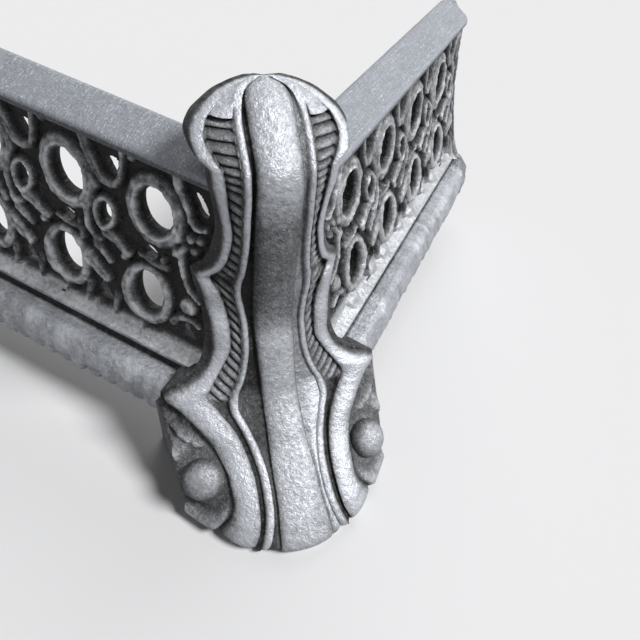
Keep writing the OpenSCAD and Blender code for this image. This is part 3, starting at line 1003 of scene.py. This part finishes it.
    def fittings(self) -> list[Piece]:
        """Casts the tabs under the rail and on the ledge, and the end lugs.

        Returns:
            The blocks.
        """
        made = []
        top_out, low_out = (float(self.face(np.array(z))) - 6 for z in (RAIL_Z, LEDGE_Z))
        for x in self.tab_places():
            for out, z in ((top_out, RAIL_Z - 3.0), (low_out, LEDGE_Z)):
                made.append(self.cast(x, out, z, (-8, -11.3, 0.05), (8, 3, 2.95)))
        for x, turn in self.lug_places():
            for z in LUG_HEIGHTS:
                behind = float(self.face(np.array(z))) - PLATE_T
                made.append(self.cast(x, behind, z, (turn * 0.05, -LUG_DEEP, -LUG_HALF),
                                      (turn * 4, 1.5, LUG_HALF)))
        return made

    def tab_places(self) -> list[float]:
        """Finds where the tabs of this run stand, every other loop on the front.

        Returns:
            Their places along the wing.
        """
        if self.wing is Wing.FRONT:
            last = (FRONT_LOOPS - 1) // 4
            return [2 * k * PITCH for k in range(-last, last + 1) if self.start < 2 * k * PITCH < self.stop]
        return [FIRST_LOOP + (k + 0.5) * PITCH for k in (0, SIDE_LOOPS - 1)]

    def lug_places(self) -> list[tuple[float, float]]:
        """Finds where the lugs of this run stand.

        Returns:
            Their places along the wing, and which way their thickness goes.
        """
        if self.wing is not Wing.FRONT:
            return [(PLATE_END, 1.0)]
        end = HALF_FRONT - PLATE_END
        return [(turn * -end, turn) for turn in (1.0, -1.0) if self.start - 1 < turn * -end < self.stop + 1]


# ---- Rails and skirts ----


@dataclass
class Rail:
    """Flat top bar that slopes outward, with a rounded lip and free end."""

    name: str
    wing: Wing
    start: float
    stop: float
    rounded: bool
    section: Points = (
        (-50, 164), (-32, 164), (-30, 165), (-28, 163.2), (-26, 162.8), (-25, 164),
        (-25, 167), (-26.5, 168.6), (-47, 174.6), (-49.3, 174.2), (-50, 172.5))
    corner: float = 1.1
    middle: float = -37.5
    half_width: float = 12.5
    end_radius: float = 10.0
    steps: int = 80
    end_steps: int = 14

    def stations(self) -> Array:
        """Places the sections, close together round the free end.

        Returns:
            Their places along the wing.
        """
        if not self.rounded:
            return np.linspace(self.start, self.stop, self.steps)
        plain = np.linspace(self.start, self.stop - self.end_radius, self.steps)
        turn = np.sin(np.linspace(0, math.pi / 2, self.end_steps))[1:]
        return np.concatenate([plain, self.stop - self.end_radius + self.end_radius * turn])

    def build(self) -> Piece:
        """Lofts the bar and dresses it.

        Returns:
            The finished bar.
        """
        s = self.stations()
        along, a, z = swept(self.section, self.corner, s)
        if self.rounded:
            e = np.clip(self.end_radius - (self.stop - s), 0, self.end_radius)
            inset = self.end_radius - np.sqrt(np.maximum(self.end_radius**2 - e * e, 1.0))
            a = self.middle + (a - self.middle) * ((self.half_width - inset[:, None]) / self.half_width)
        wave = 0.14 * lumps(along, z * 2 + a, 9.0, 11)
        # Painted highlight: the sloping top and the front lip are painted lighter than the underside.
        wear_and_shading = 0.35 + 0.5 * (z > 166.5) + 0.15 * ((a > -26.6) & (z > 163.5))
        obj = Bench.loft(self.name, on_wing(self.wing, along, a + wave, z + 0.7 * wave), wear_and_shading)
        Bench.smooth(obj, 40)
        RAIL_IRON.dress(obj)
        return obj


@dataclass
class Skirt:
    """Ledge, cove and bulge in one moulding, with a ragged scalloped toe."""

    name: str
    wing: Wing
    start: float
    stop: float
    section: Points = (
        (-26, 58), (-14, 58), (0.5, 58), (1.5, 57), (1.5, 55), (-1, 52.5), (0, 50), (4, 49.5),
        (10, 49.3), (14.5, 46.5), (17.5, 41), (19, 34), (19, 27), (16.5, 23.5), (13, 23),
        (11, 25), (13, 28), (13.5, 35), (12, 40), (8.5, 43.5), (3, 45), (-4, 46),
        (-5, 49), (-6, 54), (-15, 54), (-26, 54))
    corner: float = 1.6
    spacing: float = 1.4
    scallops: int = 5

    def build(self) -> Piece:
        """Lofts the moulding, waves its toe, fills its groove at a free end and dresses it.

        Returns:
            The finished moulding.
        """
        s = np.linspace(self.start, self.stop, int((self.stop - self.start) / self.spacing))
        along, a, z = swept(self.section, self.corner, s)
        toe = ease(40, 26, z) * ease(9, 14, a)
        bulge = ease(6, 12, a) * ease(50, 44, z)
        scallop = np.abs(np.sin(along / PITCH * math.pi * self.scallops)) ** 0.8
        ragged = 1.2 * lumps(along, a * 0, 8.0, 21) + 0.8 * lumps(along, a * 0, 3.6, 22)
        z = z + toe * (2.2 - 3.8 * scallop + 1.3 * ragged)
        rough = (0.8 * lumps(along, z, 9.0, 23) + 0.5 * lumps(along, z, 4.0, 24)
                 + 0.4 * lumps(along, z + a, 2.2, 25))
        a = a + bulge * rough - toe * 1.3 * (1 - scallop)
        tail = 0.0 if self.wing is Wing.FRONT else ease(self.stop - 15, self.stop - 3, along)
        level = 58.4 - 0.95 * np.maximum(a - 6, 0)
        z = z + tail * np.clip(level - z, 0, 14) * ((z > 43.5) & (a > -2) & (a < 19.5))
        # Painted light: the ledge and bulge are painted light, and the groove under the ledge lip and the
        # curled underside of the toe are painted dark as shadow; the part behind the ledge line and a free
        # end are darker.
        wear_and_shading = 0.78 + 0.15 * rough
        wear_and_shading = wear_and_shading - 0.8 * ease(47, 50.5, z) * ease(56.4, 55.2, z) * ease(3.0, 1.0, a) * (1 - tail)
        wear_and_shading = wear_and_shading - 0.7 * ease(30, 24, z) * ease(18.5, 14, a) - 0.6 * (a < -4) - 0.3 * tail
        obj = Bench.loft(self.name, on_wing(self.wing, along, a, z), wear_and_shading)
        Bench.smooth(obj, 45)
        SKIRT_IRON.dress(obj)
        return obj


# ---- Corner posts ----


class Measures(NamedTuple):
    """Half widths (t) and reaches (d) of the lines that run down a post, one column each."""

    spine_d: Array
    spine_t: Array
    bead_t: Array
    bead_d: Array
    inner_t: Array
    inner_d: Array
    rim_t: Array
    rim_d: Array
    cheek_t: Array
    cheek_d: Array


class Zones(NamedTuple):
    """Height of every section, and how far each zone of the post has set in there, one column each."""

    z: Array
    foot: Array
    head: Array
    lobe: Array
    crown: Array
    keel: Array


@dataclass
class CornerPost:
    """S-shaped console set across a corner, with scrolled sides, flutes and ball bosses."""

    name: str
    side: float
    # Height, then reach and half width of the spine, half width and reach of bead, inner rim,
    # outer rim and cheek, measured out from the corner along the diagonal
    rows: Points = (
        (0, 54, 15, 24.5, 48, 30.5, 43.8, 45, 31.5, 60, 11),
        (6, 55, 15, 23.5, 49.7, 29.5, 45.5, 45, 33, 61, 12),
        (14, 46, 14, 19.5, 42, 25.5, 39.5, 39.5, 31.5, 62, 8),
        (20, 35, 12.5, 17.5, 32, 24, 30.6, 36, 24.5, 63, 2),
        (27, 22, 12, 17, 19.5, 23.5, 18, 36.5, 12.5, 63, -5),
        (34, 7, 11, 19, 5, 25.5, 3.6, 41, -3.5, 64, -15),
        (41, -2, 10.5, 22.5, -6, 29, -6.8, 47, -13, 64.5, -24),
        (48, -12, 10.2, 26.5, -17, 36, -18.2, 56, -24.4, 65, -33),
        (54, -18, 10, 25, -22.5, 41, -25.6, 63, -31, 64.4, -35.5),
        (60, -22, 10, 21.5, -26, 37, -30.3, 47, -34, 47, -41),
        (67, -26.5, 10.2, 18.5, -30.5, 31, -35, 37.5, -37.5, 40.5, -44),
        (78, -33, 10.4, 16.4, -36, 25, -40.5, 33, -43.5, 37, -49),
        (88, -38.5, 10.6, 16, -41.5, 24.5, -45, 33, -46.5, 36.5, -51.5),
        (100, -42, 10.8, 17.4, -46, 26, -50.5, 34.5, -53.5, 37, -59),
        (110, -43, 10.8, 18.8, -48, 28.5, -52, 36, -56.5, 39, -64),
        (117, -43.5, 10.8, 18.4, -48.5, 32, -57, 38, -60, 39.5, -66),
        (124, -44, 10.8, 17, -48, 27, -54, 31, -56.5, 33.5, -63),
        (134, -44.7, 10.8, 15.8, -48, 23.5, -52.5, 26.5, -54.5, 29.5, -62),
        (147, -45.8, 10.8, 15, -48.5, 21.5, -53, 25, -55, 27, -63),
        (160, -46.5, 10.8, 14.8, -49, 23, -54.5, 26.5, -57, 28, -66),
        (164.5, -46.8, 10.7, 14.6, -49.4, 23.4, -54.7, 27.3, -57.2, 29, -64.5),
        (167, -47, 10.6, 14.6, -49.6, 23.6, -54.8, 27.8, -57.3, 29.5, -63),
        (170, -47.2, 10.5, 14.6, -50, 24, -55, 28.5, -57.5, 30, -63),
        (178, -49.5, 10.4, 14.6, -52, 25, -56.5, 29, -58.5, 30.5, -65),
        (183, -53.5, 10.4, 14.8, -56, 28, -60.5, 34, -62.5, 35.5, -69),
        (188, -60, 10.4, 15, -62.5, 30.5, -67.5, 35.4, -70, 37, -76),
        (193, -67, 10.4, 14.8, -69.5, 28.5, -73.5, 32.6, -75.5, 33.8, -81),
        (197, -72, 10.2, 14, -74.6, 23.5, -77.5, 27, -79.2, 28, -84),
        (200.2, -77, 9.2, 12.4, -79, 18, -81.5, 20.8, -82.8, 21.8, -86.5),
        (202.3, -81.5, 7.2, 9.4, -82.8, 12.6, -84.4, 14.4, -85.2, 15, -87.6),
        (203.4, -85, 4, 5.4, -85.6, 7, -86.4, 8, -86.9, 8.4, -88.2))
    top_z: float = 203.4
    flute_pitch: float = 5.7
    head_flute_pitch: float = 3.4
    flutes_from: float = 170.0
    recess: float = 3.4
    # Groove depth of the lit half, whose groove is also painted lighter than the shaded half's.
    lit_groove: float = 0.25
    ball: tuple[float, float, float, float] = (50.0, 8.0, 24.0, 12.0)
    ball_lean: tuple[float, float, float] = (0.28, 0.56, 0.78)
    scroll: Points = ((0, 0), (12, 0.4), (13.5, -0.4), (15.2, 0.2), (17.5, 3.0), (20, 4.6), (22.5, 4.4),
                      (26, 2.0), (31, 0))
    # The back: heights, reach behind the head, room in front of a plate, and how far the casing
    # runs past the rim
    rear: float = -97.0
    plate_gap: float = 0.3
    casing: float = 5.0
    post_end: float = 59.6

    def heights(self) -> Array:
        """Heights of the mesh rows, closest where the surface lies flattest."""
        return np.concatenate([np.arange(0, 60, 0.5), np.arange(60, 166, 0.65),
                               np.arange(166, 198, 0.42), np.linspace(198, self.top_z, 22)])

    @staticmethod
    def plate_reach(z: Array) -> Array:
        """Reach of the gallery face that the post stands clear of."""
        return np.interp(z, [LEDGE_Z, BREAK_Z, RAIL_Z], [-2.0, -19.5, -32.0])

    @staticmethod
    def from_wing(s: Array, a: Array) -> tuple[Array, Array]:
        """Half width and reach of a point given along and out from a wing."""
        return (s + a) / math.sqrt(2), (a - s) / math.sqrt(2)

    def in_fender(self, t: Array, d: Array, z: Array) -> Array:
        """Turns the post's own measures into places at its corner of the fender."""
        x, y = (d + t) / math.sqrt(2), (t - d) / math.sqrt(2)
        return np.stack([self.side * (HALF_FRONT + x), CORNER_Y + y, z], axis=-1)

    def flutes(self, z: Array, t: Array) -> Array:
        """Shapes the short slanting bars in the side pockets, shorter in the head.

        Args:
            z: Height of each point.
            t: Half width of each point.

        Returns:
            Height of the bars, from 0 to 1.
        """
        pitch = np.where(z > self.flutes_from, self.head_flute_pitch, self.flute_pitch)
        slant = lerp(0.35, 0.85, ease(142, 105, z)) / self.flute_pitch * ease(176, 164, z)
        phase = (z - self.flutes_from) / pitch - slant * (t - 20)
        x = 2 * (phase - np.floor(phase)) - 1
        return round_bar(x / 0.88) ** 0.8

    def hollow(self, t: Array, d: Array, z: Array) -> Array:
        """Shapes the scroll round a ball: a moat, then a rounded outer band, then leaf bits above.

        Args:
            t: Half width of each point.
            d: Reach of each point.
            z: Height of each point.

        Returns:
            Height over the cheek.
        """
        ball_t, ball_d, ball_z, _ = self.ball
        far = np.sqrt((t - ball_t) ** 2 + (d - ball_d) ** 2 * 0.6 + (z - ball_z) ** 2)
        knots = np.array(self.scroll)
        ring = np.interp(far, knots[:, 0], knots[:, 1]) * ease(40, 27, z)
        bits = 2.4 * lumps(t + d, z, 4.6, 31) + 1.5 * lumps(t - d, z, 2.4, 32)
        return ring + ease(31, 36, z) * ease(56, 51, z) * bits

    def spine(self, m: Measures, zone: Zones, groove: float) -> list[tuple[Array, Array, Array]]:
        """Shapes the smooth spine, the groove beside it, the slope behind that, and its bead.

        Args:
            m: Measures of the sections.
            zone: Zones of the sections.
            groove: Depth of the groove, 1 on the deep side, which is also painted dark as the shaded side.

        Returns:
            Half width, reach and wear, with painted shade, of each stretch, in order.
        """
        x = np.linspace(0, 1, 15)[None, :]
        # Painted shade: the spine is painted darker along its upright neck, between 78 and 172 mm high.
        waist = ease(78, 100, zone.z) * ease(172, 150, zone.z)
        edge = 0.9 * np.clip((x - 0.84) / 0.16, 0, 1) ** 2
        made = [(m.spine_t * x, m.spine_d - (2.4 + 0.8 * zone.head) * x**2.2 - edge,
                 0.85 - 0.2 * x**4 - 0.36 * waist)]
        fall = 3.4 + 0.8 * zone.head
        more = lerp(lerp(3.0, 2.2, zone.head), 2.0, zone.foot)
        deep = fall + more * (1 - 0.6 * ease(199, 203, zone.z)) * groove * zone.keel
        floor_t, floor_d = m.spine_t + 0.4 + 0.8 * groove, m.spine_d - deep
        x = np.array([[0.35, 0.75]])
        # Painted light: the groove floor and the slope after it are painted lighter on the lit half and near
        # black on the deep, shaded half.
        made.append((m.spine_t + (floor_t - m.spine_t) * x, m.spine_d - lerp(fall, deep, x),
                     lerp(0.5, 0.02, groove) + 0 * x))
        bank_t, bank_d = m.bead_t - 2.0, m.bead_d - 1.6 - 0.4 * groove
        x = np.linspace(0, 1, 9)[None, :]
        made.append((lerp(floor_t, bank_t, x),
                     lerp(floor_d, bank_d, x) + 1.1 * zone.foot * np.sin(math.pi * x),
                     lerp(0.75, 0.02, groove) + (0.35 - 0.2 * groove) * zone.foot * x + 0.12 * zone.foot))
        x = np.linspace(-1, 1, 8)[None, 1:]
        high = 1.6 * zone.crown + 1.9 * round_bar(x * 0.99) * (1 - zone.crown) * zone.keel
        made.append((m.bead_t + self.bead(zone) * x, m.bead_d - 1.6 + high,
                     0.45 + 0.45 * np.maximum(round_bar(x), zone.crown)))
        return made

    @staticmethod
    def bead(zone: Zones) -> Array:
        """Half width of the bead beside the pocket."""
        return lerp(1.9, 2.5, zone.foot)

    def pocket(self, m: Measures, zone: Zones) -> tuple[Array, Array, Array]:
        """Shapes the pocket with its flutes, and the smooth lobe in the head.

        Args:
            m: Measures of the sections.
            zone: Zones of the sections.

        Returns:
            Half width, reach and wear of the stretch, with painted shade on the pocket floor.
        """
        z, lobe = zone.z, zone.lobe
        x = np.linspace(0, 1, 28)[None, 1:]
        t = lerp(m.bead_t + self.bead(zone) + 0.3, m.inner_t - 0.7, x)
        wall = np.clip(np.minimum(x, 1 - x) / 0.08, 0, 1)
        pinch = 1 - 0.6 * np.exp(-((z - 117) / 2.6) ** 2)
        bars = self.flutes(z, t) * ease(49, 53, z) * pinch * (1 - lobe) * ease(194, 192, z)
        lens = np.sin(math.pi * np.clip(0.08 + 0.84 * x, 0, 1)) ** 0.35
        pad = lobe * (1 - 0.9 * zone.crown) * np.sin(math.pi * x) ** 0.6
        under = 1.5 * np.exp(-((z - 193.2) / 0.9) ** 2)
        floor = lerp(m.bead_d, m.inner_d, x) - (self.recess + under) * wall * (1 - lobe) * zone.keel
        d = floor + 2.6 * bars * wall * lens + 2.0 * pad
        # Painted shade: the pocket floor is painted near black, the flutes and the lobe light.
        return t, d, np.where(lobe > 0.5, 0.85, 0.02 + 0.62 * bars * lens) + 0.08 * zone.foot

    def cheek(self, m: Measures, zone: Zones) -> list[tuple[Array, Array, Array]]:
        """Shapes the rounded rim, the slot outside it, and the cheek with the scroll round its ball.

        Args:
            m: Measures of the sections.
            zone: Zones of the sections.

        Returns:
            Half width, reach and wear of each stretch, in order, with painted shadow in the slot.
        """
        x = np.linspace(0, 1, 13)[None, :]
        wide = np.clip((m.rim_t - m.inner_t) / 9, 0, 1.6)
        arch = np.sin(math.pi * np.clip(x * 0.94 + 0.03, 0, 1)) ** lerp(0.45, 0.75, zone.foot)
        swell = lerp(1.2, 3.4, np.clip(wide - 0.5, 0, 1)) * arch * (1 - 0.85 * zone.crown)
        made = [(lerp(m.inner_t - 0.6, m.rim_t, x), lerp(m.inner_d, m.rim_d, x) + swell,
                 0.5 + 0.48 * np.maximum(np.sin(math.pi * x) ** 0.6, 0.75 * zone.crown))]
        slot_t, slot_d = m.rim_t + 0.8, m.rim_d - 3.0
        x = np.array([[0.4, 0.8]])
        # Painted shadow: the slot outside the rim is painted dark.
        made.append((lerp(m.rim_t, slot_t, x), lerp(m.rim_d, slot_d, x), 0.3 - 0.25 * x))
        x = np.linspace(0, 1, 18)[None, 1:]
        t, d = lerp(slot_t, m.cheek_t, x), lerp(slot_d, m.cheek_d, x)
        fade = np.clip(np.minimum(x / 0.08, (1 - x) / 0.05), 0, 1)
        lift = self.hollow(t, d, zone.z + 0 * x) * zone.foot * fade
        made.append((t + 0.55 * lift, d + 0.8 * lift,
                     0.14 + (0.16 + 0.11 * np.clip(lift, -2, 5)) * zone.foot + 0.08 * x))
        return made

    def back(self, z: Array, m: Measures) -> tuple[Array, Array]:
        """Shapes the back of every section, clear of plate and rail, and domed in the head.

        Args:
            z: Heights of the sections.
            m: Measures of the sections.

        Returns:
            Half width and reach of its corners, by section.
        """
        rim_t, rim_d, bead_d = m.rim_t[:, 0], m.rim_d[:, 0], m.bead_d[:, 0]
        front = self.plate_reach(z) + self.plate_gap
        rear = self.rear + 8.6 * np.clip((z - 186) / (self.top_z - 186), 0, 1) ** 1.6
        zero = 0 * z
        low = [(68 + zero, -37 + zero), (56 + zero, -46 + zero), (50 + zero, -46 + zero), (zero, -46 + zero)]
        mid = [self.from_wing((rim_t - rim_d) / math.sqrt(2) + self.casing, front),
               self.from_wing(self.post_end + zero, front), self.from_wing(self.post_end + zero, front - 4),
               (zero, bead_d - 8.4)]
        high = [(rim_t + 0.6, rim_d - 12), (rim_t - 0.4, rim_d - 24), (rim_t - 5, rear + 0.2), (zero, rear)]
        up, top, dome = ease(43, 49.5, z), ease(164.6, 167.0, z), ease(175, 187, z)
        corners = []
        for place, degrees in ((0, 14), (0.5, 28), (1, 42), (2, 56), (2.33, 69), (2.67, 80), (3, 90)):
            k = min(int(place), 2)
            a, b, h = (lerp(np.array(way[k]), np.array(way[k + 1]), place - k) for way in (low, mid, high))
            h[1] = np.maximum(h[1], rear)
            turn = math.radians(degrees)
            round_back = np.array([(rim_t + 0.4) * math.cos(turn),
                                   rim_d - 2 + (rear - rim_d + 2) * math.sin(turn)])
            corners.append(lerp(lerp(lerp(a, b, up), h, top), round_back, dome))
        t, d = np.stack(corners, axis=-1)
        return t, d

    def half(self, z: Array, groove: float) -> tuple[Array, ...]:
        """Shapes one half of every section, from the spine round to the middle of the back.

        Args:
            z: Heights of the sections.
            groove: Depth of the groove beside the spine, 1 on the deep side, which is also painted dark as
                the shaded side.

        Returns:
            Half width, reach and wear with painted light and shade, each by section and point.
        """
        table = np.array(self.rows, float)
        m = Measures(*(column[:, None] for column in fair(table[:, 0], table[:, 1:], z).T))
        up = z[:, None]
        zone = Zones(up, ease(LEDGE_Z, LEDGE_Z - 8, up), ease(172, 180, up), ease(193.4, 194.6, up),
                     ease(194.4, 198.5, up), 0.25 + 0.75 * ease(0, 12, up))
        back_t, back_d = self.back(z, m)
        x = np.linspace(0, 1, 7)[None, 1:]
        stretches = [*self.spine(m, zone, groove), self.pocket(m, zone), *self.cheek(m, zone),
                     (lerp(m.cheek_t, back_t[:, :1], x), lerp(m.cheek_d, back_d[:, :1], x),
                      0.2 + 0.2 * zone.foot + 0 * x),
                     (back_t[:, 1:], back_d[:, 1:], np.array([[0.25]]))]
        return tuple(np.hstack(parts) for parts in zip(*(np.broadcast_arrays(*run) for run in stretches)))

    def build(self) -> Piece:
        """Lofts the console with its rounded crown, adds its balls and lugs, and dresses it.

        Returns:
            The finished post.
        """
        z = self.heights()
        # The lit half and the deep, shaded half differ in groove depth and in painted light.
        lit, deep = self.half(z, self.lit_groove), self.half(z, 1.0)
        t, d, wear_and_shading = (np.hstack([a, sign * b[:, -2:0:-1]]) for a, b, sign in zip(lit, deep, (-1, 1, 1)))
        up = np.tile(z[:, None], (1, t.shape[1]))
        d = d + 0.12 * lumps(t, up + 0.4 * d, 4.0, 41) * ease(-60, -50, d)
        middle = d[-1].mean()
        caps = [(t[-1] * share, middle + (d[-1] - middle) * share, up[-1] + rise)
                for share, rise in ((0.8, 0.4), (0.5, 0.65), (0.2, 0.75))]
        t, d, up = (np.vstack([whole, *rows]) for whole, rows in zip((t, d, up), zip(*caps)))
        wear_and_shading = np.vstack([wear_and_shading, *[wear_and_shading[-1]] * len(caps)])
        obj = Bench.loft(self.name, self.in_fender(t, d, up), wear_and_shading)
        Bench.join(obj, self.balls() + self.lugs())
        Bench.smooth(obj, 60)
        POST_IRON.dress(obj)
        return obj

    def balls(self) -> list[Piece]:
        """Models the ball boss on each side of the foot, a little flat where it faces out.

        Returns:
            The two balls.
        """
        made = []
        t, d, z, radius = self.ball
        for turn in (-1.0, 1.0):
            centre = self.in_fender(np.array(turn * t), np.array(d), np.array(z))
            Bench.clear()
            bpy.ops.mesh.primitive_uv_sphere_add(segments=48, ring_count=24, radius=radius * MM)
            ball = Bench.named(f"{self.name}_ball")
            co = Bench.points(ball) / MM
            co = co * (1 + 0.012 * lumps(co[:, 0], co[:, 1] + co[:, 2], 4.0, 51))[:, None]
            lean_t, lean_d, lean_z = self.ball_lean
            lean = self.in_fender(np.array(turn * lean_t), np.array(lean_d), np.array(lean_z))
            lean = lean - self.in_fender(np.array(0.0), np.array(0.0), np.array(0.0))
            high = co @ lean
            Bench.place(ball, co - 0.25 * high[:, None] * lean + centre - 0.5 * lean)
            Bench.shading_and_wear(ball, 0.30 + 0.45 * ease(2, 11, high))
            made.append(ball)
        return made

    def lugs(self) -> list[Piece]:
        """Casts the four lugs that the gallery plates are bolted to.

        Returns:
            The blocks.
        """
        made = []
        for z in LUG_HEIGHTS:
            behind = float(self.plate_reach(np.array(z))) - PLATE_T - 0.25
            for swap in (False, True):
                ends = []
                for s, a, dz in ((54.0, behind - LUG_DEEP, -LUG_HALF), (59.9, behind + 4.4, LUG_HALF)):
                    x, y = (-s, -a) if swap else (a, s)
                    ends.append(np.array([self.side * (HALF_FRONT + x), CORNER_Y + y, z + dz]))
                made.append(Bench.block(f"{self.name}_lug", ends, 0.3))
        return made


# ---- Studio ----


@dataclass
class Studio:
    """Pale floor, soft lamps and the camera at the photograph's place."""

    eye: tuple[float, float, float] = (638.3, -264.8, 311.5)
    right: tuple[float, float, float] = (0.88763, 0.44014, 0.13559)
    up: tuple[float, float, float] = (-0.42040, 0.65412, 0.62880)
    focal_px: float = 520.0
    frame_px: float = 640.0
    sky: tuple[float, float] = (0.08, 0.93)
    floor_lit: Colour = (0.16, 0.16, 0.165, 1)
    floor_seen: Colour = (0.88, 0.88, 0.89, 1)

    def camera(self) -> None:
        """Sets the camera up."""
        data = bpy.data.cameras.new("camera")
        data.sensor_width = 36.0
        data.lens = self.focal_px / self.frame_px * data.sensor_width
        data.clip_start = 0.01
        cam = bpy.data.objects.new("camera", data)
        x, y = Vector(self.right).normalized(), Vector(self.up)
        y = (y - x * y.dot(x)).normalized()
        turn = Matrix((x, y, x.cross(y))).transposed().to_4x4()
        cam.matrix_world = Matrix.Translation(Vector(self.eye) * MM) @ turn
        bpy.context.scene.collection.objects.link(cam)
        bpy.context.scene.camera = cam

    def lamp(self, name: str, way: tuple[float, float, float], spread: float, power: float) -> None:
        """Adds one broad, distant soft lamp.

        Args:
            name: Name of the lamp.
            way: Direction from the fender to the lamp.
            spread: Width of the lamp in degrees, as seen from the fender.
            power: Strength of its light.
        """
        data = bpy.data.lights.new(name, "SUN")
        data.angle, data.energy = math.radians(spread), power
        lamp = bpy.data.objects.new(name, data)
        lamp.location = Vector(way) * 3
        lamp.rotation_euler = (-Vector(way)).to_track_quat("-Z", "Y").to_euler()
        bpy.context.scene.collection.objects.link(lamp)

    def floor(self) -> None:
        """Lays a pale floor that throws little light back on the iron."""
        Bench.clear()
        bpy.ops.mesh.primitive_plane_add(size=12.0, location=(0, 0, -0.0005))
        floor = Bench.named("floor")
        made = bpy.data.materials.new("pale_floor")
        t = Tree.of(made)
        shader = t.add("ShaderNodeBsdfDiffuse", {"Color": t.mix(t.seen(), self.floor_lit, self.floor_seen)})
        t.add("ShaderNodeOutputMaterial", {"Surface": shader.outputs[0]})
        floor.data.materials.append(made)

    def world(self) -> None:
        """Sets a pale sky that lights the iron only softly."""
        world = bpy.data.worlds.new("pale_sky")
        bpy.context.scene.world = world
        t = Tree.of(world)
        strength = t.spread(t.seen(), *self.sky)
        sky = t.add("ShaderNodeBackground", {"Color": (1, 1, 1, 1), "Strength": strength})
        t.add("ShaderNodeOutputWorld", {"Surface": sky.outputs[0]})

    def build(self) -> None:
        """Sets up everything that isn't the fender."""
        self.camera()
        self.floor()
        self.world()
        self.lamp("key", (0.62, 0.20, 0.76), 20.0, 3.0)
        self.lamp("rear", (-0.25, 0.75, 0.60), 40.0, 0.8)
        bpy.context.scene.view_settings.view_transform = "Standard"


# ---- The fender ----


@dataclass
class Fender:
    """The whole dressed fender."""

    frame: dict

    def keep(self, obj: Piece, slot: str, *nodes: str) -> None:
        """Hands a finished piece to the frame and reports it.

        Args:
            obj: The piece.
            slot: Its material slot; not used.
            *nodes: The frame's nodes that it stands in for.
        """
        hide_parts(*nodes)
        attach(obj, "root")
        LOG.info("%s: %d faces, for %s", obj.name, len(obj.data.polygons), ", ".join(nodes))

    def posts(self) -> None:
        """Builds the two corner posts."""
        for label, side in (("left", -1.0), ("right", 1.0)):
            self.keep(CornerPost(f"{label}_post_console", side).build(), "post_iron", f"{label}_corner_post")

    def galleries(self) -> None:
        """Builds the pierced plates, the front one in three runs."""
        end, cut = HALF_FRONT - PLATE_END, 3.5 * PITCH
        for label, start, stop in (("left", -end, -cut), ("middle", -cut, cut), ("right", cut, end)):
            run = Gallery(f"front_gallery_{label}", Wing.FRONT, start, stop)
            self.keep(run.build(), "gallery_iron", "front_gallery")
        for wing in (Wing.LEFT, Wing.RIGHT):
            run = Gallery(f"{wing.value}_gallery_plate", wing, PLATE_END, SIDE_LEN)
            self.keep(run.build(), "gallery_iron", f"{wing.value}_gallery")

    def rails_and_skirts(self) -> None:
        """Builds the bars above and the mouldings below the galleries."""
        for wing in Wing:
            front = wing is Wing.FRONT
            rail, skirt = RAIL_END, SKIRT_END - SKIRT_LAP
            if front:
                rail, skirt = rail - HALF_FRONT, skirt - HALF_FRONT
            rail = Rail(f"{wing.value}_rail_bar", wing, rail, -rail if front else SIDE_LEN, not front)
            self.keep(rail.build(), "rail_iron", f"{wing.value}_rail")
            skirt = Skirt(f"{wing.value}_skirt_mould", wing, skirt, -skirt if front else SIDE_LEN)
            self.keep(skirt.build(), "skirt_iron", f"{wing.value}_skirt")

    def carried(self) -> None:
        """Dresses the frame's own feet and fixings."""
        for name, obj in self.frame["nodes"].items():
            if "rear_foot" in name and "bolts" not in name:
                FOOT_IRON.dress(obj)
            elif not obj.hide_render:
                FIXING_IRON.dress(obj)

    def build(self) -> None:
        """Builds and dresses every piece in order."""
        self.posts()
        self.galleries()
        self.rails_and_skirts()
        self.carried()


def main() -> None:
    """Loads the frame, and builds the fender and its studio."""
    logging.basicConfig(level=logging.INFO, format="%(name)s %(message)s")
    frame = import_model()
    Studio().build()
    Fender(frame).build()


if __name__ == "__main__":
    main()
